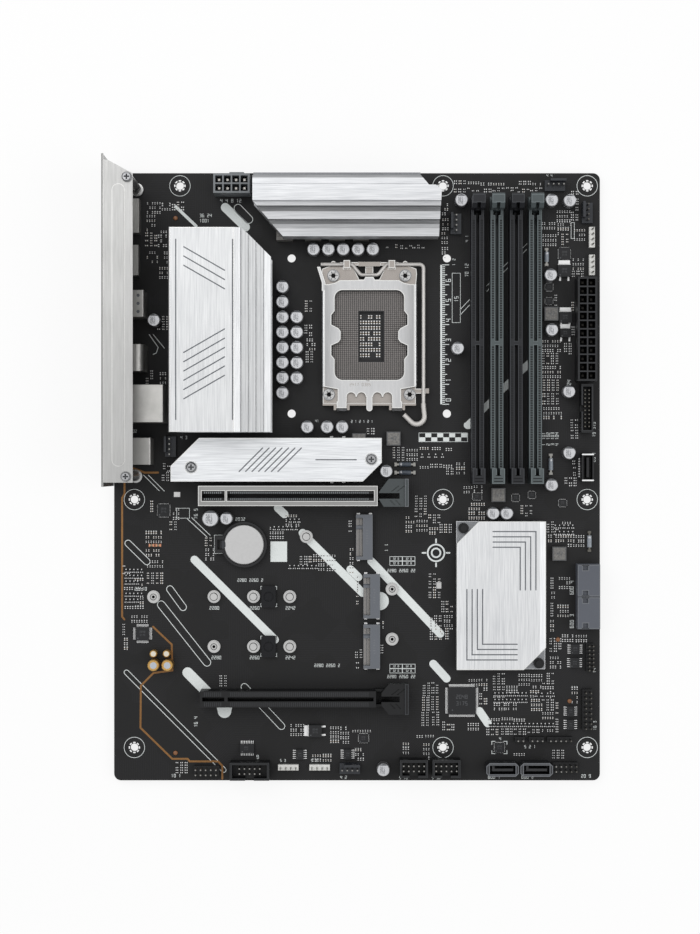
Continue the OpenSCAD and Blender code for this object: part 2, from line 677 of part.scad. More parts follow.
module vrm_screws() place() color("#b8babb")
    for (p = sink_legs) {
        post(p, 4.6, -board_t - 1.6, -board_t);
        post(p, sink_screw_d, -board_t, sink_base_z - 2);
    }

module can(p, d, h) translate([p[0], p[1], 0]) rotate_extrude() polygon([
    [0, 0], [d / 2 - 0.2, 0], [d / 2 - 0.2, 0.6], [d / 2, 0.8], [d / 2, 1.4], [d / 2 - 0.25, 1.7],
    [d / 2, 2], [d / 2, h - 0.35], [d / 2 - 0.35, h], [0, h]]);

module polymer_capacitors() place() color("#c8cacb") {
    for (p = concat(cap_rows, cap_singles)) can(p, cap_d, cap_h);
    can(wide_cap, wide_cap[2], cap_h + 2);
}

module audio_capacitors() place() color("#c39a3c") for (c = audio_caps) can(c, c[2], c[3]);

// Processor socket

module cpu_socket_body() place() color("#3a3a3c") difference() {
    brick(cpu, [socket_w, socket_l], 0, socket_h);
    brick(cpu, [package_w, package_l] + [2, 2] * package_gap, seat_z, socket_h + over);
    brick(cpu + [1, -0.5], [11.9, 24.4], 0.8, socket_h);
    for (s = [-1, 1]) brick(cpu + [s * socket_w / 2, 0], [2 * socket_wall + 1, 9], seat_z, socket_h + over);
}

// The frame: a stamped ring with axle saddles at the top and a hinge wall at the bottom.
module socket_frame() place() color("#c3bdb4") translate([cpu_x, cpu_y, 0]) {
    side = plate_w / 2 - 0.4;
    wall_y = hinge_y - cpu_y + 1;
    top = axle_y - cpu_y;
    rod = hinge_y - cpu_y;
    difference() {
        slab([[-side, wall_y], [side, wall_y], [side, 24], [side + 0.6, 31], [side + 0.3, 33.6],
            [14.5, top + 1.3], [-14.5, top + 1.3], [-side - 0.3, 33.6], [-side - 0.6, 31], [-side, 24]],
            0, frame_t);
        brick([0, 0], [socket_w, socket_l] + [0.8, 0.8], -over, frame_t + over);
        for (p = frame_screws) post(p - cpu, frame_hole_d, -over, frame_t + over);
        for (s = [-1, 1])
            slab([[s * 8.4, 35.2], [s * 2, 35.2], [s * 2, 28.2], [s * 5, 28.2]], -over, frame_t + over);
    }
    // Raised tab between the legs of the crank
    block(-5.4, 5.4, top - 1.1, top + 1.1, frame_t - 0.2, axle_z + 1.2);
    // Round ears behind the axle
    for (s = [-1, 1]) post([s * 18, top + 0.6], 2.6, 0, frame_t);
    // Saddles around the axle
    for (s = [-1, 1]) difference() {
        block(s > 0 ? saddle_x[0] : -saddle_x[1], s > 0 ? saddle_x[1] : -saddle_x[0], top - 2, top + 1.9,
            frame_t - 0.2, axle_z + lever_d / 2 + joint_gap + 0.8);
        rod_x(-saddle_x[1] - over, saddle_x[1] + over, top, axle_z, lever_d + 2 * joint_gap);
    }
    // Hinge wall, open at each knuckle, where the rod is held between two ears
    difference() {
        block(-side, side, wall_y, wall_y + 1, frame_t - 0.2, hinge_z + 1.2);
        for (k = knuckle_spans) block(k[0] - joint_gap, k[1] + joint_gap, wall_y - over, wall_y + 1 + over,
            frame_t, hinge_z + 1.2 + over);
    }
    for (k = knuckle_spans) {
        for (x = [k[0] - joint_gap - 1.2, k[1] + joint_gap])
            block(x, x + 1.2, rod - 1.3, wall_y + 0.5, 0.4, hinge_z + 1.2);
        rod_x(k[0] - 1, k[1] + 1, rod, hinge_z, hinge_rod_d);
    }
    // Lever keeper: runs under the arm and curls up beside it
    block(side - 1, arm_x + 2.7, -29, -26.5, 0, frame_t);
    block(arm_x + lever_d / 2 + joint_gap + 0.1, arm_x + 2.7, -29, -26.5, frame_t - 0.2, axle_z + 1.2);
}

// The window widens above and below a holding tab on each side.
module window_cut() {
    half = window_w / 2;
    linear_extrude(plate_t + 2 * over) difference() {
        union() {
            round_rect(-half, half, -window_l / 2, window_l / 2, 4);
            for (s = [-1, 1]) polygon([[0, 12], [s * half, 12], [s * (half + 1.6), 10], [s * (half + 1.6), -10],
                [s * half, -12], [0, -12]]);
        }
        for (s = [-1, 1]) polygon([[s * (half + 3), 6.4], [s * (half + 1.6), 5.2], [s * (half - 1.9), 3.4],
            [s * (half - 3), 1.9], [s * (half - 3), -2.1], [s * (half - 1.9), -3.6], [s * (half + 1.6), -5.2],
            [s * (half + 3), -6.4]]);
    }
}

module socket_load_plate() place() color("#d9dadb") translate([cpu_x, cpu_y, 0]) {
    side = plate_w / 2;
    neck = 15.8;
    hinge = hinge_y - cpu_y;
    crank_edge = axle_y - cpu_y - crank - lever_d / 2;
    top = plate_z + plate_t;
    difference() {
        intersection() {
            slab([[-neck, hinge + 2.6], [neck, hinge + 2.6], [neck, -27], [side + 1, -25.4], [side + 1, 25.3],
                [20.4, 25.3], [17.2, 26], [14.8, crank_edge - 2.1], [2.8, crank_edge - 2],
                [2, crank_edge - 0.4], [-2, crank_edge - 0.4], [-2.8, crank_edge - 2],
                [-14.8, crank_edge - 2.1], [-17.2, 26], [-20.4, 25.3], [-side - 1, 25.3],
                [-side - 1, -25.4], [-neck, -27]], plate_z, top);
            // Long edges rounded by the bend
            along_y(hinge, crank_edge) {
                corner_rect(-side, 0, plate_z - 1, top, plate_bend_r);
                corner_rect(-over, side, plate_z - 1, top, plate_bend_r, true);
            }
        }
        translate([0, 0, plate_z - over]) window_cut();
        // Two arches beside the tongue and each strap
        for (s = [-1, 1]) {
            for (x = [4, 9.1]) post([s * x, -30.8], 4.4, plate_z - over, top + over);
            block(s > 0 ? tongue_w / 2 : -11.3, s > 0 ? 11.3 : -tongue_w / 2, -40, -30.8,
                plate_z - over, top + over);
        }
    }
    // Sides bent down, and the lifting finger at the upper left corner
    for (s = [-1, 1]) block(s > 0 ? side - plate_t : -side, s > 0 ? side : plate_t - side, -24, 23.4,
        plate_z - 1.2, plate_z + 0.2);
    slab([[-side, 22], [-side + 1.8, 22], [-side + 1.8, 26], [-side - 0.8, 34], [-side - 2.4, 34], [-side, 26]],
        plate_z, top);
    // Straps over the hinge wall, each ending in a knuckle around the rod
    for (k = knuckle_spans) {
        edge = hinge - knuckle_d / 2;
        difference() {
            union() {
                rod_x(k[0], k[1], hinge, hinge_z, knuckle_d);
                along_x(k[0], k[1]) polygon([[edge, hinge_z], [edge + 0.7, hinge_z], [edge + 1.1, plate_z],
                    [hinge + 3, plate_z], [hinge + 3, top], [edge + 1.4, top], [edge, top - 1.4]]);
            }
            rod_x(k[0] - over, k[1] + over, hinge, hinge_z, hinge_rod_d + 2 * joint_gap);
        }
    }
    block(-tongue_w / 2, tongue_w / 2, hinge - 0.4, hinge + 6, plate_z, top);
    post([0, hinge - 0.4], tongue_w, plate_z, top);
}

// A round wire through plan points; every corner is bent to the same radius.
// The bends are a hair thicker than the straight runs, which reach a little into them.
function turn(pts, i) = let (a = pts[i] - pts[i - 1], b = pts[i + 1] - pts[i])
    atan2(a[0] * b[1] - a[1] * b[0], a * b);

function trim(pts, i, bend) = i == 0 || i == len(pts) - 1 ? 0 : bend * tan(abs(turn(pts, i)) / 2) - 0.15;

module bent_wire(pts, bend, d) {
    for (i = [0:len(pts) - 2]) {
        run = pts[i + 1] - pts[i];
        way = run / norm(run);
        from = pts[i] + way * trim(pts, i, bend);
        span = norm(run) - trim(pts, i, bend) - trim(pts, i + 1, bend);
        translate(from) rotate([0, 90, atan2(way[1], way[0])]) cylinder(d = d, h = span);
    }
    for (i = [1:len(pts) - 2]) {
        run = pts[i] - pts[i - 1];
        way = run / norm(run);
        t = turn(pts, i);
        side = sign(t) * [-way[1], way[0]];
        centre = pts[i] - way * bend * tan(abs(t) / 2) + side * bend;
        first = atan2(-side[1], -side[0]) + min(t, 0);
        translate(centre) rotate([0, 0, first]) rotate_extrude(angle = abs(t))
            translate([bend, 0]) circle(d = d + 0.06);
    }
}

module socket_lever() place() color("#cdc9c2") translate([cpu_x, cpu_y, axle_z]) {
    top = axle_y - cpu_y;
    low = top - crank;
    grip = -34;
    bent_wire([[-24.3, top], [-8.6, top], [-4.3, low], [4.3, low], [8.6, top], [arm_x, top],
        [arm_x, grip - 0.5]], 2, lever_d);
    bent_wire([[arm_x, grip], [arm_x, grip - 1.6], [arm_x + 1.6, -51], [17.3, -39.6]], 3.9, handle_d);
}

module socket_screws() place() color("#e2e0dc") for (p = frame_screws) {
    difference() {
        post(p, frame_head_d, frame_t, frame_t + frame_head_h);
        translate([p[0], p[1], frame_t + 0.9]) cylinder(d = 3.2, h = frame_head_h, $fn = 6);
    }
    post(p, frame_screw_d, -board_t - under_room + 0.3, frame_t);
}

module socket_backplate() place() color("#8a8c8e") translate([cpu_x, cpu_y, 0]) difference() {
    half = plate_w / 2;
    slab([[-half, -32], [-half + 4, -35], [half - 4, -35], [half, -32], [half, 32], [half - 4, 35.5],
        [4 - half, 35.5], [-half, 32]], -pcb_top, -board_t);
    brick([0, 0], [package_w - 3, package_l - 3], -pcb_top - over, -board_t + over);
    for (p = frame_screws) post(p - cpu, frame_hole_d, -pcb_top - over, -board_t + over);
}

// Memory slots

module dimm_slot(i) place() color(i % 2 == 0 ? "#1e1e20" : "#8c9093")
translate([dimm_x + i * dimm_pitch, 0, 0]) {
    half = dimm_w / 2;
    tower = dimm_y + 7.6;
    groove_end = dimm_pivot_y - 4;
    key_y = dimm_y + 70;
    difference() {
        union() {
            block(-half, half, dimm_y, dimm_pivot_y, 0, dimm_h);
            rod_x(-half, half, dimm_pivot_y, dimm_pivot_z, 2 * dimm_ear_r);
            block(-half, half, dimm_pivot_y, dimm_pivot_y + dimm_ear_r, 0, dimm_pivot_z);
            block(-half, half, dimm_y, tower, 0, dimm_end_h - 1.5);
        }
        block(-half - over, half + over, dimm_pivot_y - 8, dimm_pivot_y + 8, -8, 0);
        block(-dimm_groove / 2, dimm_groove / 2, dimm_y + 4, key_y - 1, dimm_floor, dimm_end_h);
        block(-dimm_groove / 2, dimm_groove / 2, key_y + 1, groove_end + over, dimm_floor, dimm_end_h);
        block(-dimm_channel / 2, dimm_channel / 2, groove_end, dimm_pivot_y + 8, -over, dimm_h + over);
        block(-dimm_groove / 2, dimm_groove / 2, groove_end - 3.5, groove_end + over, 0.6, dimm_h);
        rod_x(-half - over, half + over, dimm_pivot_y, dimm_pivot_z, dimm_pin_d + 2 * joint_gap);
    }
}

// The latch turns on a pin between the ears; its toe lifts the card when it opens.
module dimm_latch(i) place() color(i % 2 == 0 ? "#2a2a2c" : "#9a9ea1")
    translate([dimm_x + i * dimm_pitch, dimm_pivot_y, dimm_pivot_z]) {
        half = dimm_w / 2;
        blade = dimm_channel / 2 - joint_gap;
        neck = dimm_ear_r + joint_gap + 0.4;
        top = dimm_end_h - dimm_pivot_z;
        difference() {
            union() {
                rod_x(-blade, blade, 0, 0, 3.8);
                block(-blade, blade, -1.6, 1.9, 0, neck + 1);
                along_x(-half, half) polygon([[-1.6, neck], [3, neck], [3, top - 6], [5.6, top - 3.4],
                    [5.6, top - 0.8], [4.8, top], [0.6, top], [-1.6, top - 2.2]]);
            }
            block(-dimm_groove / 2, dimm_groove / 2, -2, 0.8, neck - 0.4, top + over);
        }
        rod_x(-half + 0.2, half - 0.2, 0, 0, dimm_pin_d);
        block(-0.55, 0.55, -5.6, -1, -1.4, -0.4);
    }

module dimm_slot_1() dimm_slot(0);
module dimm_slot_2() dimm_slot(1);
module dimm_slot_3() dimm_slot(2);
module dimm_slot_4() dimm_slot(3);
module dimm_latch_1() dimm_latch(0);
module dimm_latch_2() dimm_latch(1);
module dimm_latch_3() dimm_latch(2);
module dimm_latch_4() dimm_latch(3);

// Card slots

module card_slot(y) difference() {
    union() {
        block(card_x, card_x1, y - card_w / 2, y + card_w / 2, 0, card_h);
        for (s = [-1, 1]) {
            y0 = s > 0 ? y + card_cheek[0] : y - card_cheek[1];
            block(card_x1 - 0.5, card_pin_x, y0, y0 + card_cheek[1] - card_cheek[0], 0, 2 * card_pin_z);
            block(card_pin_x, card_pin_x + card_pin_z, y0, y0 + card_cheek[1] - card_cheek[0], 0, card_pin_z);
            rod_y(y0, y0 + card_cheek[1] - card_cheek[0], card_pin_x, card_pin_z, 2 * card_pin_z);
        }
    }
    block(card_x + 1.2, card_key_x - 0.8, y - card_groove / 2, y + card_groove / 2, card_floor, card_h + over);
    block(card_key_x + 0.8, card_x1 - 1.2, y - card_groove / 2, y + card_groove / 2, card_floor, card_h + over);
    rod_y(y - card_cheek[1] - over, y + card_cheek[1] + over, card_pin_x, card_pin_z,
        card_pin_d + 2 * joint_gap);
}

module card_latch(y, outline) difference() {
    x = card_pin_x;
    union() {
        for (s = [-1, 1]) {
            y0 = s > 0 ? y + card_leg[0] : y - card_leg[1];
            rod_y(y0, y0 + card_leg[1] - card_leg[0], x, card_pin_z, 3.8);
            block(x - 1.9, x + 1.9, y0, y0 + card_leg[1] - card_leg[0], card_pin_z, card_latch_z[0] + 1);
        }
        rod_y(y - card_cheek[1] + 0.2, y - card_leg[1] + 0.2, x, card_pin_z, card_pin_d);
        rod_y(y + card_leg[1] - 0.2, y + card_cheek[1] - 0.2, x, card_pin_z, card_pin_d);
        slab([for (p = outline) p + [x, y]], card_latch_z[0], card_latch_z[1]);
        block(x + 9.6, x + 11.5, y + outline[2][1], y + outline[3][1], card_latch_z[1] - 0.2,
            card_latch_z[1] + 0.7);
    }
    block(x - 6, x + 7, y - card_leg[0], y + card_leg[0], card_latch_z[0] - over, card_latch_z[1] + over);
    // Slanting finger grooves on the upper face
    for (dx = [2.6, 5.4])
        slab([[x + dx, y + 2.2], [x + dx + 0.8, y + 2.2], [x + dx + 4.4, y + 5], [x + dx + 3.6, y + 5]],
            card_latch_z[1] - 0.5, card_latch_z[1] + over);
    for (dx = [2, 4.8])
        slab([[x + dx, y - 2.2], [x + dx + 0.8, y - 2.2], [x + dx + 3, y - 4.6], [x + dx + 2.2, y - 4.6]],
            card_latch_z[1] - 0.5, card_latch_z[1] + over);
}

module pcie_slot_1() place() color("#1b1b1d") card_slot(card_y_up);

module pcie_slot_2() place() color("#1b1b1d") card_slot(card_y_low);

// Folded steel over the upper slot, open along the card groove and at the latch end.
module pcie_slot_1_armour() place() color("#d7d9da") difference() {
    y = card_y_up;
    half = card_w / 2 + 0.2 + armour_t;
    block(card_x - armour_t, card_x1 + armour_t, y - half, y + half, 0, card_h + 0.6);
    block(card_x, card_x1, y - half + armour_t, y + half - armour_t, -over, card_h);
    block(card_x1 - over, card_x1 + 4, y - half - over, y + half + over, -over, 2 * card_pin_z + 0.5);
    block(card_x + 1, card_key_x - 0.6, y - 2.5, y + 2.5, card_h - over, card_h + 2);
    block(card_key_x + 0.6, card_x1 - 1, y - 2.5, y + 2.5, card_h - over, card_h + 2);
}

module pcie_latch_1() place() color("#7d8284") card_latch(card_y_up, [[-3.3, -1.6], [-0.9, -5.4], [11.5, -5.4],
    [11.5, 8.5], [1.7, 8.5], [-3.3, 1.9]]);

module pcie_latch_2() place() color("#29292b") card_latch(card_y_low, [[-2, -3], [1.6, -7.6], [11.5, -7.6],
    [11.5, 7.6], [1.6, 7.6], [-2, 3]]);

// Storage

module m2_heatsink() place() color("#d5d8da") difference() {
    lo = m2_sink_lo;
    hi = m2_sink_hi;
    slab([lo, [hi[0] - 9.4, lo[1]], [hi[0], lo[1] + 9.3], hi, [lo[0] + 14.1, hi[1]], [lo[0], lo[1] + 7.7]],
        m2_sink_z, m2_sink_z + m2_sink_t);
    for (p = m2_sink_screws) {
        post(p, shield_screw_d + 2 * screw_gap, m2_sink_z - over, m2_sink_z + m2_sink_t);
        post(p, 6, m2_sink_z + m2_sink_t - 0.8, m2_sink_z + m2_sink_t + over);
    }
}

module m2_heatsink_screws() place() color("#e0e2e3")
    for (p = m2_sink_screws) pan_screw(p, 5.2, 1.6, shield_screw_d, m2_sink_z + m2_sink_t - 0.8, m2_sink_t + 3);

module m2_sockets() place() color("#4a525a") for (m = m2_places) difference() {
    depth = 8.3;
    key = m[1] + m[2] * 0.72;
    block(m[0], m[0] + depth, m[1], m[1] + m[2], 0, m2_h);
    block(m[0] - over, m[0] + 5, m[1] + 1, key - 0.7, 1.5, 3.2);
    block(m[0] - over, m[0] + 5, key + 0.7, m[1] + m[2] - 1, 1.5, 3.2);
    block(m[0] - over, m[0] + m2_lip, m[1] + 1.6, m[1] + m[2] - 1.6, 3, m2_h + over);
}

module m2_standoffs() place() color("#c9cbcc") {
    // The first four are free, the others carry a low screw
    for (i = [0:len(m2_nuts) - 1]) difference() {
        p = m2_nuts[i];
        union() {
            post(p, 6.4, 0, 1);
            post(p, 5.4, 1, m2_post_h);
            if (i > 3) translate([p[0], p[1], m2_post_h - 0.1]) cylinder(d1 = 4.4, d2 = 3.4, h = 0.7);
        }
        if (i < 4) {
            post(p, 2.5, 0.8, m2_post_h + over);
            translate([p[0], p[1], m2_post_h - 0.5]) cylinder(d1 = 2.5, d2 = 3.7, h = 0.6);
        }
    }
    for (p = m2_sink_screws) difference() {
        post(p, 5.4, 0, m2_sink_z);
        post(p, shield_screw_d + 2 * screw_gap, 1, m2_sink_z + over);
    }
}

module m2_rubber_pads() place() color("#4d5052") for (p = m2_rests) difference() {
    linear_extrude(m2_post_h - 0.2) round_rect(p[0] - 3.6, p[0] + 3.6, p[1] - 5.4, p[1] + 5.4, 1);
    post(p, 5, m2_post_h - 0.8, m2_post_h + over);
}

module sata_tongue_up(x, y) {
    block(x - 5.2, x + 5.2, y - 0.7, y + 0.5, sata_h - 8.2, sata_h - 0.8);
    block(x - 5.2, x - 4, y + 0.3, y + 1.8, sata_h - 8.2, sata_h - 0.8);
}

// Two upright ports by the bottom edge and two that face the front edge.
module sata_ports() place() color("#4b5560") {
    for (i = [0, 1]) {
        x = sata_up[0] + sata_pitch / 2 + i * (sata_pitch + 0.7);
        y = sata_up[1] + sata_up_d / 2;
        difference() {
            slab([for (c = [[-1, -0.55], [-0.8, -1], [0.8, -1], [1, -0.55], [1, 0.55], [0.8, 1], [-0.8, 1],
                [-1, 0.55]]) [x + c[0] * sata_pitch / 2, y + c[1] * sata_up_d / 2]], 0, sata_h);
            brick([x, y], [12.8, 4.4], sata_h - 8, sata_h + over);
        }
        sata_tongue_up(x, y);
    }
    x1 = sata_edge[0] + sata_edge_d;
    mid_z = sata_edge_h / 2;
    for (i = [0, 1]) {
        y = sata_edge[1] + sata_pitch * (i + 0.5);
        difference() {
            block(sata_edge[0], x1, y - sata_pitch / 2, y + sata_pitch / 2, 0, sata_edge_h);
            block(x1 - 8, x1 + over, y - 6.4, y + 6.4, mid_z - 2.2, mid_z + 2.2);
            for (end = [-1, 1]) {
                // Ledge and window near both ends of the roof
                brick([sata_edge[0] + 3.9, y + end * 6.3], [2.6, 2.4], sata_edge_h - 1.4, sata_edge_h + over);
                brick([x1 - 6.3, y + end * sata_pitch / 2], [13, 0.5], sata_edge_h - 0.6, sata_edge_h + over);
            }
        }
        block(x1 - 8.2, x1 - 1, y - 5.2, y + 5.2, mid_z - 1.1, mid_z);
        block(x1 - 8.2, x1 - 1, y - 5.2, y - 4, mid_z - 0.2, mid_z + 1.5);
    }
}

// Chipset and battery

module chipset() place() color("#2d3a33") brick(chip_mid, chip_size, 0, chip_h);

module chipset_heatsink() place() color("#d5d8da") difference() {
    lo = chip_sink;
    hi = chip_sink + [chip_sink_w, chip_sink_l];
    plate_top = chip_sink_z + chip_plate_t;
    union() {
        block(lo[0], hi[0], lo[1], hi[1], chip_sink_z, plate_top);
        slab([lo, [hi[0] - chip_ledge, lo[1]], [hi[0], lo[1] + chip_ledge], hi, [lo[0] + chip_ledge, hi[1]],
            [lo[0], hi[1] - chip_ledge]], plate_top - 0.2, plate_top + chip_block_t);
    }
    for (p = push_pins) post(p, push_pin_d + 2 * screw_gap, chip_sink_z - over, plate_top + over);
}

module chipset_push_pins() place() color("#1d1d1f") for (p = push_pins) {
    plate_top = chip_sink_z + chip_plate_t;
    post(p, 5.2, plate_top, plate_top + 1.6);
    post(p, 3.2, plate_top + 1.5, plate_top + 2.4);
    post(p, push_pin_d, -board_t - 0.2, plate_top);
    translate([p[0], p[1], -board_t - 1.6]) cylinder(d1 = 2, d2 = push_pin_d + 1.2, h = 1.6);
}

module battery_holder() place() color("#1c1c1e") difference() {
    rim = holder_floor + cell_t - 0.8;
    union() {
        post(coin, holder_d, 0, rim);
        brick(coin - [holder_d / 2 + 0.6, 0], [5.2, 8.4], 0, rim + 0.6);
    }
    post(coin, cell_d + 2 * joint_gap, holder_floor, rim + 1);
    brick(coin - [holder_d / 2 + 0.6, 0], [2.6, 5], holder_floor, rim + 1);
}

module coin_cell() place() color("#c9cbcc") translate([coin[0], coin[1], holder_floor])
rotate_extrude() polygon([
    [0, 0], [cell_d / 2 - 1.2, 0], [cell_d / 2 - 0.9, 0.6], [cell_d / 2, 0.9], [cell_d / 2, cell_t - 0.4],
    [cell_d / 2 - 0.4, cell_t], [0, cell_t]]);

// Headers

module fan_headers() place() color("#1e1e20") for (h = fans) header_at(h) {
    brick([0, 0], fan_size, 0, strip_h);
    block(-fan_size[0] / 2 + 2.4, fan_size[0] / 2, fan_size[1] / 2 - 1.1, fan_size[1] / 2, strip_h - 0.2,
        header_pin_h);
}

module light_headers() place() color("#e6e6e4")
    for (h = lights) header_at(h) brick([0, 0], light_size, 0, strip_h);

module box_header(c, size) difference() {
    brick(c, size, 0, shroud_h);
    brick(c, size - [2, 2] * box_wall, strip_h, shroud_h + over);
    brick(c - [0, size[1] / 2], [4.4, 2 * box_wall + 1], strip_h, shroud_h + over);
}

module pin_headers() place() color("#1e1e20") {
    for (s = strips) header_at(s) brick([0, 0], [s[3], s[4]] * s[5], 0, strip_h);
    for (b = boxes) box_header([b[0], b[1]], [b[2], b[3]]);
}

module pin_grid(nx, ny, pitch, z0, h) for (i = [0:nx - 1], j = [0:ny - 1])
    brick([(i - (nx - 1) / 2) * pitch, (j - (ny - 1) / 2) * pitch], [header_pin, header_pin], z0, h);

module header_pins() place() color("#d6c48e") {
    for (h = fans) header_at(h) pin_grid(4, 1, header_pitch, strip_h, header_pin_h);
    for (h = lights) header_at(h) pin_grid(4, 1, header_pitch, strip_h, header_pin_h);
    for (s = strips) header_at(s) pin_grid(s[3], s[4], s[5], strip_h, header_pin_h);
    for (b = boxes) translate([b[0], b[1], 0]) pin_grid(5, 2, header_pitch, strip_h, shroud_h - 1);
    translate([usb3[0], usb3[1], 0]) pin_grid(2, 10, 2, strip_h, shroud_h - 1);
}

module usb3_header() place() color("#1e1e20") difference() {
    c = [usb3[0], usb3[1]];
    size = [usb3[2], usb3[3]];
    brick(c, size, 0, shroud_h);
    brick(c, size - [1.6, 2.4], strip_h, shroud_h + over);
    brick(c - [size[0] / 2, 0], [2, 3.2], strip_h, shroud_h + over);
}

module usb_c_header() place() color("#b9bcbe") {
    c = [usb_c[0], usb_c[1]];
    size = [usb_c[2], usb_c[3]];
    difference() {
        brick(c, size, 0, shroud_h);
        brick(c, size - [1.4, 1.6], strip_h - 0.5, shroud_h + over);
    }
    brick(c, [1.2, size[1] - 4], strip_h - 0.7, shroud_h - 1);
}

// Small parts

module chip_packages() place() color("#242527") {
    for (c = chips) brick(c, [c[2], c[3]], 0, c[4]);
    for (c = tab_chips) brick(c, [c[2], c[3]], 0, 2.3);
}

module power_inductors() place() color("#6b6e70") for (p = inductors) {
    brick(p, [inductor_w, inductor_w], 0.4, inductor_h);
    brick(p, [inductor_w - 2, inductor_w - 0.6], 0, 0.4);
}

module diodes() place() color("#34363a") for (d = diodes) header_at(d) {
    body = d[3] * 0.56;
    rod_x(-body / 2, body / 2, 0, diode_d / 2, diode_d);
    rod_x(-d[3] / 2, d[3] / 2, 0, diode_d / 2, 0.8);
    for (s = [-1, 1]) brick([s * (d[3] / 2 - 0.6), 0], [1, 1.6], 0, diode_d / 2 + 0.5);
}

pcb();
io_shield();
io_shield_standoffs();
io_shield_screws();
video_ports();
usb_stacks();
lan_usb_stack();
rear_port_tongues();
cpu_power_connector();
atx_power_connector();
power_pins();
vrm_heatsink_left();
vrm_heatsink_top();
thermal_pads();
power_stages();
vrm_chokes();
vrm_screws();
polymer_capacitors();
audio_capacitors();
cpu_socket_body();
socket_frame();
socket_load_plate();
socket_lever();
socket_screws();
socket_backplate();
dimm_slot_1();
dimm_slot_2();
dimm_slot_3();
dimm_slot_4();
dimm_latch_1();
dimm_latch_2();
dimm_latch_3();
dimm_latch_4();
m2_heatsink();
m2_heatsink_screws();
m2_sockets();
m2_standoffs();
m2_rubber_pads();
pcie_slot_1();
pcie_slot_1_armour();
pcie_latch_1();
pcie_slot_2();
pcie_latch_2();
chipset();
chipset_heatsink();
chipset_push_pins();
battery_holder();
coin_cell();
sata_ports();
fan_headers();
light_headers();
pin_headers();
header_pins();
usb3_header();
usb_c_header();
chip_packages();
power_inductors();
diodes();
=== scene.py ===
# %% [markdown]
# # Dressing a desktop motherboard
# The solids of the board come from the CAD frame and stay as they are. This script gives them real
# finishes and adds what is too fine for CAD: printed lines, solder, tiny chip parts and contacts.
# Everything is in metres, in the frame of the CAD model, so a piece goes where the CAD says.

import collections
import math
import random

import bmesh
import bpy
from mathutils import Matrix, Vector


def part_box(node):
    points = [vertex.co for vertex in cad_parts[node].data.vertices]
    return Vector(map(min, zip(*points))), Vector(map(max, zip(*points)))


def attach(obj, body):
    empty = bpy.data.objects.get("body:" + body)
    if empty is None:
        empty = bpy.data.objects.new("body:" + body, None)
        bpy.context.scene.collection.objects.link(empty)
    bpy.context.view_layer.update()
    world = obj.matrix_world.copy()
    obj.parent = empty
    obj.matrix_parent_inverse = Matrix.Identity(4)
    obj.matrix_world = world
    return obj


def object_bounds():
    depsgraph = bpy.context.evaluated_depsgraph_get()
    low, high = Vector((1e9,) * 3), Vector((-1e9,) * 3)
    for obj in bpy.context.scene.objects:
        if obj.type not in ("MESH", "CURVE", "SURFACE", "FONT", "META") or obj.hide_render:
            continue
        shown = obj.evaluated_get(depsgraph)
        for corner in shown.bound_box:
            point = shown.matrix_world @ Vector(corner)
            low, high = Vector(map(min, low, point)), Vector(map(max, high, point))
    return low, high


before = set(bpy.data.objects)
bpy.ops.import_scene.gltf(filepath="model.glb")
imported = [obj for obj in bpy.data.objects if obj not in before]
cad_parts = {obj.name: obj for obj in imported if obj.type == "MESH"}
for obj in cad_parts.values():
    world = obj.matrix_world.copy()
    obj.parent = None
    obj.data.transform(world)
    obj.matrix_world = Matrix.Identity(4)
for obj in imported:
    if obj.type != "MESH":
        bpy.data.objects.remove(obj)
cad_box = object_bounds()
print("nodes in the frame:", len(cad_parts))

# %% [markdown]
# A board is drawn in millimetres from its lower left corner, so the script does the same. The corner
# and the component face are read from the CAD laminate, and every place below counts from them.

# %% Millimetres on the board
MM = 0.001
board_low, board_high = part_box("pcb")
FACE = board_high[2]


def at(x, y, h=0.0):
    """A point in the frame, from millimetres across and along the board and above its face."""
    return Vector((board_low[0] + x * MM, board_low[1] + y * MM, FACE + h * MM))


def on_board(point):
    """The same point in board millimetres: across, along and above the face."""
    return ((point[0] - board_low[0]) / MM, (point[1] - board_low[1]) / MM, (point[2] - FACE) / MM)


BOARD_W, BOARD_L, _ = on_board(board_high)
print("board, mm:", round(BOARD_W, 1), "x", round(BOARD_L, 1))

# %% [markdown]
# The photograph looks straight down from about 0.9 m, with the tall pieces leaning away from the
# middle of the picture. A camera at that height with a matching lens gives the same leaning. The
# sensor measures the longer side of the picture, so the lens follows from the length it takes in.

# %% Camera
SENSOR = 36.0
CAMERA_HEIGHT = 900.0
VIEW_LENGTH = 468.9
CAMERA_PLACE = (118.4, 157.3)

camera = bpy.data.objects.new("camera", bpy.data.cameras.new("camera"))
camera.location = at(*CAMERA_PLACE, CAMERA_HEIGHT)
camera.data.sensor_width = SENSOR
camera.data.lens = SENSOR * CAMERA_HEIGHT / VIEW_LENGTH
camera.data.clip_start = 0.01
bpy.context.scene.collection.objects.link(camera)
bpy.context.scene.camera = camera
bpy.context.scene.view_settings.view_transform = "Standard"
print("lens, mm:", round(camera.data.lens, 1))

# %% [markdown]
# Colours are picked as sRGB hex values, as on a screen, but Blender mixes light in linear numbers, so
# one function converts them. A second small function adds a shader or geometry node, sets it up and
# links it. With these two, every material below is a short list of nodes.

# %% Colour and node helpers


def ink(code, alpha=1.0):
    """Linear colour from an sRGB hex code."""
    parts = [int(code[i:i + 2], 16) / 255 for i in (0, 2, 4)]
    return [p / 12.92 if p <= 0.04045 else ((p + 0.055) / 1.055) ** 2.4 for p in parts] + [alpha]


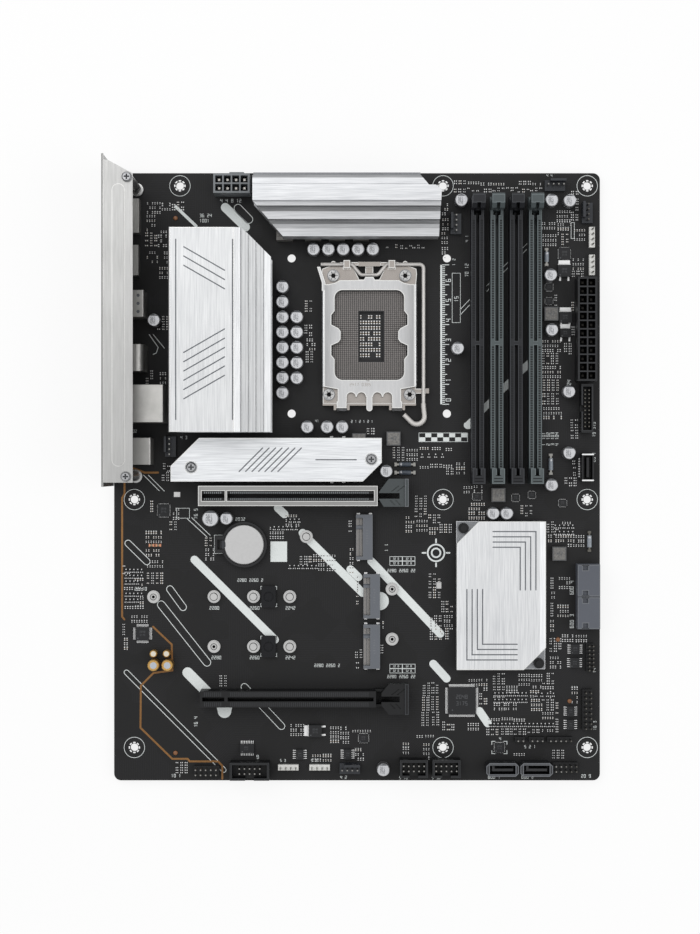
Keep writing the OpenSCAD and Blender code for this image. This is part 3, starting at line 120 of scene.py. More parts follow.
def add(tree, kind, settings=None, feeds=None):
    """One node with its settings; feeds gives each input a value or another node's output."""
    made = tree.nodes.new(kind)
    for name, value in (settings or {}).items():
        setattr(made, name, value)
    for name, value in (feeds or {}).items():
        if isinstance(value, bpy.types.NodeSocket):
            tree.links.new(value, made.inputs[name])
        else:
            made.inputs[name].default_value = value
    return made


def blank_material(name):
    """A material with an empty node tree, and that tree."""
    material = bpy.data.materials.new(name)
    material.use_nodes = True
    material.node_tree.nodes.clear()
    return material, material.node_tree


print("middle grey in linear numbers:", round(ink("808080")[0], 3))

# %% [markdown]
# The studio is a white floor under a soft sky. The floor shows white to the camera and in
# reflections, mixed with a plain matt white that still catches the board's shadow. The sky is
# brightest overhead, as a ceiling of soft boxes is, which is what the flat metal faces reflect.

# %% Floor, sky and lamps
GLOW_SHARE = 0.82
floor_paint, tree = blank_material("studio_floor_white")
path = add(tree, "ShaderNodeLightPath")
seen = add(tree, "ShaderNodeMath", {"operation": "MAXIMUM"},
           {0: path.outputs["Is Camera Ray"], 1: path.outputs["Is Glossy Ray"]})
seen = add(tree, "ShaderNodeMath", {"operation": "MAXIMUM"},
           {0: seen.outputs[0], 1: path.outputs["Is Transmission Ray"]})
share = add(tree, "ShaderNodeMath", {"operation": "MULTIPLY"}, {0: seen.outputs[0], 1: GLOW_SHARE})
matt = add(tree, "ShaderNodeBsdfDiffuse", feeds={"Color": ink("f4f4f4")})
glow = add(tree, "ShaderNodeEmission", feeds={"Color": (1, 1, 1, 1), "Strength": 1.0})
both = add(tree, "ShaderNodeMixShader", feeds={0: share.outputs[0], 1: matt.outputs[0], 2: glow.outputs[0]})
add(tree, "ShaderNodeOutputMaterial", feeds={"Surface": both.outputs[0]})

FLOOR_HALF, FLOOR_GAP = 3.0, 0.0002
floor_mesh = bpy.data.meshes.new("floor")
floor_mesh.from_pydata([(-FLOOR_HALF, -FLOOR_HALF, 0), (FLOOR_HALF, -FLOOR_HALF, 0),
                        (FLOOR_HALF, FLOOR_HALF, 0), (-FLOOR_HALF, FLOOR_HALF, 0)], [], [(0, 1, 2, 3)])
floor = bpy.data.objects.new("floor", floor_mesh)
floor.location.z = cad_box[0][2] - FLOOR_GAP
floor_mesh.materials.append(floor_paint)
bpy.context.scene.collection.objects.link(floor)

SKY_LOW, SKY_HIGH = 0.18, 0.98
sky = bpy.data.worlds.new("studio_sky")
sky.use_nodes = True
tree = sky.node_tree
tree.nodes.clear()
place = add(tree, "ShaderNodeTexCoord")
height = add(tree, "ShaderNodeSeparateXYZ", feeds={"Vector": place.outputs["Generated"]})
bright = add(tree, "ShaderNodeMapRange", feeds={"Value": height.outputs["Z"], "From Min": 0.0,
                                                "From Max": 1.0, "To Min": SKY_LOW, "To Max": SKY_HIGH})
path = add(tree, "ShaderNodeLightPath")
level = add(tree, "ShaderNodeMix", {"data_type": "FLOAT"},
            {0: path.outputs["Is Camera Ray"], 2: bright.outputs[0], 3: 1.0})
backdrop = add(tree, "ShaderNodeBackground", feeds={"Color": (1, 1, 1, 1), "Strength": level.outputs[0]})
add(tree, "ShaderNodeOutputWorld", feeds={"Surface": backdrop.outputs[0]})
bpy.context.scene.world = sky


def soft_box(name, place, target, size, watts):
    """A square area lamp at a place, turned to a target, all in board millimetres."""
    lamp = bpy.data.lights.new(name, "AREA")
    lamp.size = size * MM
    lamp.energy = watts
    holder = bpy.data.objects.new(name, lamp)
    holder.location = at(*place)
    holder.rotation_euler = (at(*target) - at(*place)).to_track_quat("-Z", "Y").to_euler()
    bpy.context.scene.collection.objects.link(holder)


MIDDLE = (BOARD_W / 2, BOARD_L / 2, 0)
soft_box("soft_box_upper_left", (-420, 700, 900), MIDDLE, 1000, 4.6)
soft_box("soft_box_right", (850, 100, 700), MIDDLE, 700, 2.0)
print("studio: floor, sky and two soft boxes")

# %% [markdown]
# Most parts of a board are moulded, plated or pressed, and share one structure: a base colour that
# drifts a little, gloss that drifts with it, and a fine relief. One function makes that finish. Its
# grain is a real size in millimetres, and stretch draws the grain out along an axis, as brushing does.

# %% The usual finish
DRIFT = 25 * MM
finishes = {}


def finish(name, colour, shade, grain, rough, metallic=0.0, bump=0.0, stretch=(1, 1, 1), specular=0.5):
    """A finish named for its material; grain is in millimetres, rough is the range of roughness."""
    material, tree = blank_material(name)
    place = add(tree, "ShaderNodeTexCoord")
    drawn = add(tree, "ShaderNodeMapping", feeds={"Vector": place.outputs["Object"], "Scale": stretch})
    fine = add(tree, "ShaderNodeTexNoise",
               feeds={"Vector": drawn.outputs[0], "Scale": 1 / (grain * MM), "Detail": 3.0})
    broad = add(tree, "ShaderNodeTexNoise",
                feeds={"Vector": place.outputs["Object"], "Scale": 1 / DRIFT, "Detail": 2.0})
    blend = add(tree, "ShaderNodeMath", {"operation": "MULTIPLY_ADD"},
                {0: broad.outputs[0], 1: 0.5, 2: fine.outputs[0]})
    spread = add(tree, "ShaderNodeMapRange",
                 feeds={"Value": blend.outputs[0], "From Min": 0.45, "From Max": 1.05})
    tint = add(tree, "ShaderNodeMix", {"data_type": "RGBA"},
               {0: spread.outputs[0], 6: ink(shade), 7: ink(colour)})
    gloss = add(tree, "ShaderNodeMapRange",
                feeds={"Value": spread.outputs[0], "To Min": rough[1], "To Max": rough[0]})
    relief = add(tree, "ShaderNodeBump",
                 feeds={"Height": fine.outputs[0], "Strength": bump, "Distance": grain * MM * 0.2})
    shader = add(tree, "ShaderNodeBsdfPrincipled", feeds={
        "Base Color": tint.outputs[2], "Roughness": gloss.outputs[0], "Normal": relief.outputs[0],
        "Metallic": metallic, "Specular IOR Level": specular})
    add(tree, "ShaderNodeOutputMaterial", feeds={"Surface": shader.outputs[0]})
    finishes[name] = material


# Glass-filled nylon and LCP, moulded: dark, with a satin skin from the tool's fine erosion.
finish("black_lcp_moulded", "17171a", "101013", 0.25, (0.38, 0.55), bump=0.15, specular=0.4)
finish("ink_black_lcp_moulded", "0d0e11", "08090b", 0.25, (0.42, 0.58), bump=0.15, specular=0.35)
finish("blue_black_lcp_moulded", "23272e", "1b1e24", 0.25, (0.38, 0.52), bump=0.15)
finish("blue_ink_nylon_moulded", "16181e", "101217", 0.25, (0.40, 0.55), bump=0.15, specular=0.4)
finish("graphite_nylon_moulded", "3d4446", "34393b", 0.25, (0.42, 0.55), bump=0.15)
finish("slate_nylon_moulded", "495254", "3f4749", 0.25, (0.42, 0.55), bump=0.15)
finish("plug_nylon_moulded", "7b7f82", "6b6f72", 0.25, (0.42, 0.55), bump=0.15)
finish("black_and_slate_lcp", "1b1c20", "141518", 0.25, (0.40, 0.52), bump=0.15)
finish("grey_lcp_moulded", "62666d", "555960", 0.25, (0.40, 0.52), bump=0.15)
finish("white_nylon_moulded", "e4e4e1", "d2d2ce", 0.25, (0.40, 0.52), bump=0.12)
# Rolled sheet steel with zinc plate: pale grey, with broad soft streaks along the roll.
finish("zinc_plated_sheet", "b3b3b2", "a7a7a6", 0.8, (0.32, 0.42), 1.0, 0.03, (1, 0.06, 1))
finish("cold_rolled_sheet", "9b9b9a", "8d8d8c", 0.8, (0.30, 0.42), 1.0, 0.04, (0.06, 1, 1))
# Stamped steel with nickel plate or a bare stainless skin: smoother than zinc, nearly even in tone.
finish("nickel_plated_steel", "c6c6c5", "bababa", 6.0, (0.26, 0.32), 1.0)
finish("warm_nickel_plate", "aea8a3", "a09a95", 6.0, (0.20, 0.28), 1.0)
finish("drawn_nickel_wire", "cfccc9", "c2bfbc", 8.0, (0.42, 0.50), 0.4)
finish("stainless_stamped", "d0d0d1", "bebfc0", 0.8, (0.26, 0.34), 1.0, stretch=(1, 0.08, 1))
finish("passivated_screw_steel", "b2b3b5", "9c9d9f", 3.0, (0.28, 0.38), 1.0)
finish("etched_cell_can", "c2c2c2", "bcbcbc", 1.5, (0.36, 0.46), 1.0, 0.02)
finish("tin_plated_shell", "bdbcb9", "b1b0ad", 4.0, (0.38, 0.48), 1.0)
# Gold flash over nickel on port contacts, tin on header pins, and dull alloy springs.
finish("gold_flash_contact", "e3cb93", "c2a768", 0.3, (0.18, 0.30), 1.0, 0.03)
finish("tin_plated_pin", "a09f9b", "848380", 0.3, (0.24, 0.36), 1.0, 0.03)
finish("dull_power_pin", "c0bdb8", "a3a09b", 0.3, (0.35, 0.5), 1.0, 0.03)
finish("contact_alloy", "8e8a88", "7a7674", 0.3, (0.35, 0.5), 0.7, 0.03)
finish("spring_alloy", "a5a19c", "8d8985", 0.3, (0.35, 0.5), 0.6, 0.03)
finish("copper_end", "d9a184", "bd8467", 0.3, (0.28, 0.4), 1.0, 0.03)
finish("tin_solder", "f4f4f3", "e0e1e2", 0.3, (0.30, 0.45), 0.3, 0.10)
# Pressed iron powder and moulded epoxy: matt, with a visible speckle.
finish("pressed_iron_powder", "83817e", "51504e", 0.9, (0.45, 0.62), 0.2, 0.25)
finish("moulded_epoxy", "1d1e21", "161719", 0.3, (0.50, 0.65), bump=0.2, specular=0.35)
finish("chip_substrate", "2f3b34", "27312b", 0.4, (0.45, 0.6), bump=0.1)
finish("diode_glass", "474e58", "373d46", 0.6, (0.14, 0.24), bump=0.03)
# Drawn aluminium cans and the gold lacquer of the audio ones.
finish("drawn_aluminium_can", "cfd0d3", "bcbdc0", 0.8, (0.30, 0.42), 1.0, 0.03)
finish("gold_lacquered_can", "cfa968", "b68f50", 0.6, (0.26, 0.38), 0.9, 0.05)
# Silicone and rubber: soft, matt and slightly dusty.
finish("silicone_thermal_pad", "9aa4aa", "87929a", 0.6, (0.65, 0.8), bump=0.2)
finish("moulded_rubber", "16171b", "101114", 0.4, (0.62, 0.78), bump=0.25, specular=0.3)
finish("ceramic_tan", "8a7a66", "74664f", 0.2, (0.5, 0.65), bump=0.1)
finish("ceramic_black", "232426", "17181a", 0.2, (0.35, 0.5), bump=0.1)
# Inks and laser marks: nearly opaque, with slight mottling.
finish("white_screen_ink", "dfe4e3", "d2d7d6", 0.6, (0.5, 0.65), bump=0.08)
finish("capacitor_ink", "505358", "46494e", 0.4, (0.45, 0.6), bump=0.05)
finish("cream_sleeve", "e2dccf", "d2cbbb", 0.4, (0.4, 0.55), bump=0.05)
finish("pale_blue_sleeve", "b9c0c8", "a9b0b9", 0.4, (0.4, 0.55), bump=0.05)
# Painted shade: the laser mark finish also paints the shade in the cross recesses of the pan heads. The
# next finish draws the engraved lines on the sinks, and also paints shade in the port dimples and dark
# reflections on the socket screws. The one after it paints shade on the low faces of the sinks.
finish("laser_mark", "4e5053", "434548", 0.3, (0.5, 0.65), bump=0.05)
finish("engraving_and_painted_shade", "6c6f74", "5e6166", 0.6, (0.4, 0.55), 0.4, 0.05)
finish("ledge_shade", "8d8f92", "7c7e81", 0.8, (0.40, 0.5), 0.8, 0.03)
# Bare copper with a thin gold finish, and the deep shade in a window or a recess.
finish("gold_mask_opening", "8f673a", "77522a", 0.8, (0.35, 0.5), 0.5, 0.05)
finish("slot_shadow", "0c0d0f", "070809", 0.3, (0.6, 0.75), bump=0.05, specular=0.2)
# Painted highlights: the next four finishes are pale lines laid along edges where they catch the light, and
# the first of them also draws grey marks on the drive sockets. Of the greys below them, the ribs and the
# faint rims also paint weaker highlights along the edges of black mouldings.
finish("grey_mark_and_edge_highlight", "6d7075", "5c5f64", 0.6, (0.4, 0.55), bump=0.05)
finish("bright_edge_highlight", "ececea", "dcdcda", 0.8, (0.2, 0.3), 1.0)
finish("bead_edge_highlight", "d0d0ce", "c6c6c4", 0.8, (0.3, 0.4), 1.0)
finish("slate_edge_highlight", "697375", "5d6567", 0.6, (0.4, 0.55), bump=0.05)
finish("steel_tip", "7f8486", "6a6f71", 0.3, (0.35, 0.5), 0.5, 0.03)
finish("comb_rib", "373a3f", "2d3034", 0.3, (0.5, 0.65), bump=0.05)
finish("faint_rim", "2a2c30", "222427", 0.3, (0.5, 0.65), bump=0.05)
finish("amber_lens", "8a5a34", "6e4526", 0.4, (0.2, 0.32), bump=0.03)
print("usual finishes:", len(finishes))

# %% [markdown]
# Brushed aluminium is made by dragging an abrasive belt along the part. Each hair scratch is far finer
# than a pixel here, so the scratches are drawn coarser, at 0.28 mm, to show at all. They are long in
# one direction, which a Mapping node gives by shrinking that axis of the noise.

# %% Brushed aluminium
HAIR, CLOUD = 0.28 * MM, 40 * MM


def brushed(name, stretch, colour, shade):
    """Anodised aluminium brushed along the axis that stretch shrinks."""
    material, tree = blank_material(name)
    place = add(tree, "ShaderNodeTexCoord")
    drawn = add(tree, "ShaderNodeMapping", feeds={"Vector": place.outputs["Object"], "Scale": stretch})
    hair = add(tree, "ShaderNodeTexNoise",
               feeds={"Vector": drawn.outputs[0], "Scale": 1 / HAIR, "Detail": 4.0})
    cloud = add(tree, "ShaderNodeTexNoise", feeds={"Vector": place.outputs["Object"], "Scale": 1 / CLOUD})
    tone = add(tree, "ShaderNodeMath", {"operation": "MULTIPLY_ADD"},
               {0: cloud.outputs[0], 1: 0.2, 2: hair.outputs[0]})
    spread = add(tree, "ShaderNodeMapRange",
                 feeds={"Value": tone.outputs[0], "From Min": 0.35, "From Max": 0.85})
    tint = add(tree, "ShaderNodeMix", {"data_type": "RGBA"},
               {0: spread.outputs[0], 6: ink(shade), 7: ink(colour)})
    gloss = add(tree, "ShaderNodeMapRange",
                feeds={"Value": spread.outputs[0], "To Min": 0.58, "To Max": 0.46})
    relief = add(tree, "ShaderNodeBump",
                 feeds={"Height": hair.outputs[0], "Strength": 0.12, "Distance": HAIR * 0.3})
    shader = add(tree, "ShaderNodeBsdfPrincipled", feeds={
        "Base Color": tint.outputs[2], "Roughness": gloss.outputs[0], "Normal": relief.outputs[0],
        "Metallic": 1.0})
    add(tree, "ShaderNodeOutputMaterial", feeds={"Surface": shader.outputs[0]})
    finishes[name] = material


ALONG, ACROSS = (1, 0.02, 1), (0.02, 1, 1)
brushed("brushed_aluminium_left", ALONG, "fbfcfd", "dfe1e3")
brushed("brushed_aluminium_chipset", ALONG, "fbfcfd", "d6d8db")
brushed("brushed_aluminium_drive", ACROSS, "f4f6f8", "cbcdd0")
brushed("brushed_aluminium_top", ACROSS, "ebecee", "c7c9cc")
print("brushed finishes: four")

# %% [markdown]
# The solder mask is a matt black lacquer over copper. Where copper runs underneath, the lacquer lies a
# hair higher and looks a shade lighter, so bundles of traces show faintly. Wave bands in three
# directions stand for the bundles, and a cell pattern picks the direction for each patch of the board.
# The cut edge has no lacquer: there the upright faces show the brown glass and resin of the laminate.

# %% Solder mask
TRACE_PITCH = 0.9 * MM
PATCH, MOTTLE, TRACE_RISE = 16 * MM, 0.4 * MM, 0.04 * MM
WAVES_PER_UNIT = 20 / (2 * math.pi)
mask_paint, tree = blank_material("black_solder_mask")
place = add(tree, "ShaderNodeTexCoord")
cells = add(tree, "ShaderNodeTexVoronoi", {"distance": "MANHATTAN"},
            {"Vector": place.outputs["Object"], "Scale": 1 / PATCH, "Randomness": 0.9})
pick = add(tree, "ShaderNodeSeparateColor", feeds={"Color": cells.outputs["Color"]})
bands = []
for turn in (0, 90, 45):
    turned = add(tree, "ShaderNodeMapping", feeds={"Vector": place.outputs["Object"],
                                                   "Rotation": (0, 0, math.radians(turn))})
    wave = add(tree, "ShaderNodeTexWave", {"wave_profile": "SIN"},
               {"Vector": turned.outputs[0], "Scale": 1 / (TRACE_PITCH * WAVES_PER_UNIT)})
    bands.append(wave.outputs["Fac"])
second = add(tree, "ShaderNodeMath", {"operation": "GREATER_THAN"}, {0: pick.outputs[0], 1: 0.4})
third = add(tree, "ShaderNodeMath", {"operation": "GREATER_THAN"}, {0: pick.outputs[0], 1: 0.75})
either = add(tree, "ShaderNodeMix", {"data_type": "FLOAT"},
             {0: second.outputs[0], 2: bands[0], 3: bands[1]})
either = add(tree, "ShaderNodeMix", {"data_type": "FLOAT"},
             {0: third.outputs[0], 2: either.outputs[0], 3: bands[2]})
ridge = add(tree, "ShaderNodeMapRange",
            feeds={"Value": either.outputs[0], "From Min": 0.55, "From Max": 0.75})
routed = add(tree, "ShaderNodeMath", {"operation": "GREATER_THAN"}, {0: pick.outputs[1], 1: 0.45})
copper = add(tree, "ShaderNodeMath", {"operation": "MULTIPLY"}, {0: ridge.outputs[0], 1: routed.outputs[0]})
mottle = add(tree, "ShaderNodeTexNoise", feeds={"Vector": place.outputs["Object"], "Scale": 1 / MOTTLE})
lacquer = add(tree, "ShaderNodeMix", {"data_type": "RGBA"},
              {0: copper.outputs[0], 6: ink("141415"), 7: ink("1b1b1d")})
facing = add(tree, "ShaderNodeSeparateXYZ",
             feeds={"Vector": add(tree, "ShaderNodeNewGeometry").outputs["True Normal"]})
upright = add(tree, "ShaderNodeMath", {"operation": "COMPARE"}, {0: facing.outputs["Z"], 1: 0.0, 2: 0.5})
tint = add(tree, "ShaderNodeMix", {"data_type": "RGBA"},
           {0: upright.outputs[0], 6: lacquer.outputs[2], 7: ink("2a281d")})
gloss = add(tree, "ShaderNodeMapRange", feeds={"Value": mottle.outputs[0], "To Min": 0.5, "To Max": 0.66})
relief = add(tree, "ShaderNodeBump",
             feeds={"Height": copper.outputs[0], "Strength": 0.25, "Distance": TRACE_RISE})
shader = add(tree, "ShaderNodeBsdfPrincipled", feeds={
    "Base Color": tint.outputs[2], "Roughness": gloss.outputs[0], "Normal": relief.outputs[0],
    "Specular IOR Level": 0.3})
add(tree, "ShaderNodeOutputMaterial", feeds={"Surface": shader.outputs[0]})
finishes["black_solder_mask"] = mask_paint
print("solder mask: trace pitch", TRACE_PITCH / MM, "mm")

# %% [markdown]
# Each CAD node now gets its finish. The nodes are never moved or reshaped: only the material slots
# change. The list reads like the bill of materials of the real board.

# %% Finishes for the CAD nodes
wear = {
    "black_solder_mask": "pcb",
    "zinc_plated_sheet": "io_shield socket_backplate",
    "cold_rolled_sheet": "pcie_slot_1_armour",
    "warm_nickel_plate": "socket_frame",
    "stainless_stamped": "socket_load_plate",
    "drawn_nickel_wire": "socket_lever",
    "nickel_plated_steel": "socket_screws io_shield_standoffs vrm_screws m2_standoffs",
    "passivated_screw_steel": "io_shield_screws m2_heatsink_screws",
    "etched_cell_can": "coin_cell",
    "tin_plated_shell": "video_ports usb_stacks lan_usb_stack",
    "black_lcp_moulded": "rear_port_tongues cpu_socket_body battery_holder usb_c_header",
    "blue_ink_nylon_moulded": "dimm_slot_1 dimm_slot_3 dimm_latch_1 dimm_latch_3",
    "ink_black_lcp_moulded": "atx_power_connector pcie_slot_1 pcie_slot_2 pcie_latch_2 "
                             "chipset_push_pins usb3_header pin_headers",
    "blue_black_lcp_moulded": "fan_headers",
    "graphite_nylon_moulded": "pcie_latch_1",
    "slate_nylon_moulded": "dimm_slot_2 dimm_slot_4 dimm_latch_2 dimm_latch_4",
    "plug_nylon_moulded": "cpu_power_connector",
    "black_and_slate_lcp": "sata_ports",
    "grey_lcp_moulded": "m2_sockets",
    "white_nylon_moulded": "light_headers",
    "tin_plated_pin": "header_pins",
    "dull_power_pin": "power_pins",
    "brushed_aluminium_left": "vrm_heatsink_left",
    "brushed_aluminium_chipset": "chipset_heatsink",
    "brushed_aluminium_drive": "m2_heatsink",
    "brushed_aluminium_top": "vrm_heatsink_top",
    "silicone_thermal_pad": "thermal_pads",
    "moulded_epoxy": "power_stages chip_packages",
    "diode_glass": "diodes",
    "chip_substrate": "chipset",
    "pressed_iron_powder": "vrm_chokes power_inductors",
    "drawn_aluminium_can": "polymer_capacitors",
    "gold_lacquered_can": "audio_capacitors",
    "moulded_rubber": "m2_rubber_pads",
}
for finish_name, node_names in wear.items():
    for node_name in node_names.split():
        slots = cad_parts[node_name].data.materials
        slots.clear()
        slots.append(finishes[finish_name])
print("nodes with a finish:", sum(len(names.split()) for names in wear.values()))

# %% [markdown]
# Some nodes hold pieces of two colours: the upright drive ports are black where the edge ones are slate,
# the pins at the right edge are duller and the diodes there are paler. The pins of the large plug lie in
# deep shade, which is painted on them as a dark second colour. A second colour then takes over beyond a
# line across the board, which the material finds from the Object coordinates.

# %% Second tones


def second_tone(finish_name, axis, limit, colour, shade):
    """Give a finish another colour where a coordinate, in board millimetres, is past a limit."""
    tree = finishes[finish_name].node_tree
    shader = tree.nodes["Principled BSDF"]
    first = shader.inputs["Base Color"].links[0].from_node
    drift = first.inputs[0].links[0].from_socket
    place = add(tree, "ShaderNodeTexCoord")
    parts = add(tree, "ShaderNodeSeparateXYZ", feeds={"Vector": place.outputs["Object"]})
    line = at(limit, limit)["XY".index(axis)]
    past = add(tree, "ShaderNodeMath", {"operation": "GREATER_THAN"}, {0: parts.outputs[axis], 1: line})
    second = add(tree, "ShaderNodeMix", {"data_type": "RGBA"}, {0: drift, 6: ink(shade), 7: ink(colour)})
    both = add(tree, "ShaderNodeMix", {"data_type": "RGBA"}, {0: past.outputs[0], 6: first.outputs[2],
                                                               7: second.outputs[2]})
    tree.links.new(both.outputs[2], shader.inputs["Base Color"])
    print(finish_name, "changes at", axis, limit, "mm")


# Painted shade: past X 150 the pins of the large plug are painted near black, for the deep shade in their
# cells.
second_tone("dull_power_pin", "X", 150, "2c2b29", "232220")
second_tone("tin_plated_pin", "X", 226, "6b6964", "5a5853")
second_tone("black_and_slate_lcp", "Y", 40, "565a63", "4a4e57")
second_tone("diode_glass", "X", 190, "8e959d", "757c84")

# %% [markdown]
# The steps of the top sink shade one another: the rear strips are the brightest, and each groove in front
# goes from dark to pale. The left sink has a bright sloping edge, three ribs with a line along the middle
# and a bright last rib. The chipset sink is brightest along its right edge. The load plate is bent at its
# long sides and darkens towards them. All of this is painted: a colour ramp along one axis takes light
# away, from a list of places and shares of the light that is left, so the bright edges and ribs are painted
# highlights and the rest is painted shade.

# %% Painted shade and highlights on steps and bends


def dim(finish_name, axis, steps):
    """Paint shade into a finish along an axis, by steps of (place in board millimetres, share of the light
    left).
    """
    tree = finishes[finish_name].node_tree
    shader = tree.nodes["Principled BSDF"]
    bare = shader.inputs["Base Color"].links[0].from_socket
    place = add(tree, "ShaderNodeTexCoord")
    parts = add(tree, "ShaderNodeSeparateXYZ", feeds={"Vector": place.outputs["Object"]})
    first, last = steps[0][0], steps[-1][0]
    low, high = [at(end, end)["XY".index(axis)] for end in (first, last)]
    along = add(tree, "ShaderNodeMapRange",
                feeds={"Value": parts.outputs[axis], "From Min": low, "From Max": high})
    ramp = add(tree, "ShaderNodeValToRGB", feeds={"Fac": along.outputs[0]})
    stops = ramp.color_ramp.elements
    stops[0].color, stops[1].color = [(light, light, light, 1) for light in (steps[0][1], steps[-1][1])]
    for spot, light in steps[1:-1]:
        stops.new((spot - first) / (last - first)).color = (light, light, light, 1)
    left = add(tree, "ShaderNodeMix", {"data_type": "RGBA", "blend_type": "MULTIPLY"},
               {0: 1.0, 6: bare, 7: ramp.outputs[0]})
    tree.links.new(left.outputs[2], shader.inputs["Base Color"])
    print(finish_name, "steps of light:", len(steps))


dim("brushed_aluminium_top", "Y", [
    (270.5, 0.78), (274.2, 0.72), (274.5, 0.52), (276.4, 0.60), (276.8, 0.36), (278.3, 0.42), (278.6, 0.78),
    (282.2, 0.68), (282.5, 0.30), (284.6, 0.40), (285.0, 0.70), (287.0, 0.78), (287.4, 0.94), (295.0, 1.0),
    (298.0, 1.0), (298.2, 0.46), (299.4, 0.40)])
fins = [(65.6 + 3.7 * i + dx, light) for i in range(3) for dx, light in (
    (0.0, 0.62), (1.5, 0.70), (1.6, 0.56), (2.0, 0.58), (2.1, 0.64), (3.4, 0.72), (3.5, 1.0))]
dim("brushed_aluminium_left", "X",
    [(30.2, 0.77), (61.9, 0.77), (62.1, 0.90), (64.9, 0.90)] + fins + [(76.7, 0.86), (80.2, 0.86)])
dim("brushed_aluminium_chipset", "X",
    [(171.2, 0.92), (172.4, 0.86), (180.0, 0.82), (212.6, 0.80), (213.0, 1.0), (215.6, 1.0)])
dim("stainless_stamped", "X", [
    (104.4, 1.0), (105.3, 1.0), (105.9, 0.66), (108.6, 0.80), (111.5, 0.94), (116.0, 1.0), (140.0, 1.0),
    (144.5, 0.94), (147.4, 0.80), (150.1, 0.66), (150.7, 1.0), (151.6, 1.0)])

# %% [markdown]
# Several CAD nodes hold many solids: all the capacitors are one node, for example. Tops, leads and
# solder need the place of each one, so this helper merges a copy of a node's mesh, splits it into
# connected islands and gives their boxes in board millimetres. Nothing is measured twice that way.

# %% Boxes of separate solids
Box = collections.namedtuple("Box", "x0 y0 z0 x1 y1 z1")


def board_box(corners):
    """The box between two corners in the frame, in board millimetres."""
    return Box(*[value for corner in corners for value in on_board(corner)])


def solids_of(node_name):
    """Boxes of a node's separate solids, sorted by place."""
    shape = bmesh.new()
    shape.from_mesh(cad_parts[node_name].data)
    bmesh.ops.remove_doubles(shape, verts=shape.verts[:], dist=1e-6)
    waiting = set(shape.verts)
    boxes = []
    while waiting:
        island = [waiting.pop()]
        for vert in island:
            for edge in vert.link_edges:
                other = edge.other_vert(vert)
                if other in waiting:
                    waiting.remove(other)
                    island.append(other)
        corners = [on_board(vert.co) for vert in island]
        boxes.append(Box(*[round(min(c), 3) for c in zip(*corners)],
                         *[round(max(c), 3) for c in zip(*corners)]))
    shape.free()
    return sorted(boxes)


def middle(box):
    """The middle of a box, across and along the board."""
    return (box.x0 + box.x1) / 2, (box.y0 + box.y1) / 2


standing = [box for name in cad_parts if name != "pcb" for box in solids_of(name)
            if box.z0 < 2 and box.z1 > 0]
print("solids that stand on the board:", len(standing))


def free_spot(x, y, reach):
    """True where no solid stands within reach of a spot on the board."""
    return not any(b.x0 - reach < x < b.x1 + reach and b.y0 - reach < y < b.y1 + reach for b in standing)


# %% [markdown]
# Printed ink, bare copper and engraved lines are flat shapes of constant thickness. A Film collects
# outlines, lines with round ends, rings and plain digits in board millimetres, and then raises them
# all into one closed mesh. The digits are single strokes on a grid two wide and four high, as a
# plotter would draw them.

# %% Films of ink and metal
DIGIT_STROKES = {
    "0": [[(0, 0), (2, 0), (2, 4), (0, 4), (0, 0)]],
    "1": [[(0.4, 3.2), (1, 4), (1, 0)]],
    "2": [[(0, 4), (2, 4), (2, 2), (0, 2), (0, 0), (2, 0)]],
    "3": [[(0, 4), (2, 4), (2, 0), (0, 0)], [(0.5, 2), (1.7, 2)]],
    "4": [[(0, 4), (0, 2), (1.7, 2)], [(2, 4), (2, 0)]],
    "5": [[(2, 4), (0, 4), (0, 2), (2, 2), (2, 0), (0, 0)]],
    "6": [[(2, 4), (0, 4), (0, 0), (2, 0), (2, 2), (0.3, 2)]],
    "7": [[(0, 4), (2, 4), (0.8, 0)]],
    "8": [[(0, 0), (2, 0), (2, 4), (0, 4), (0, 0)], [(0.3, 2), (1.7, 2)]],
    "9": [[(0, 0), (2, 0), (2, 4), (0, 4), (0, 2), (1.7, 2)]],
}


def arc(x, y, radius, start, end, steps=8):
    """Points on an arc, from one angle to another, in degrees."""
    turns = [math.radians(start + (end - start) * i / steps) for i in range(steps + 1)]
    return [(x + radius * math.cos(t), y + radius * math.sin(t)) for t in turns]


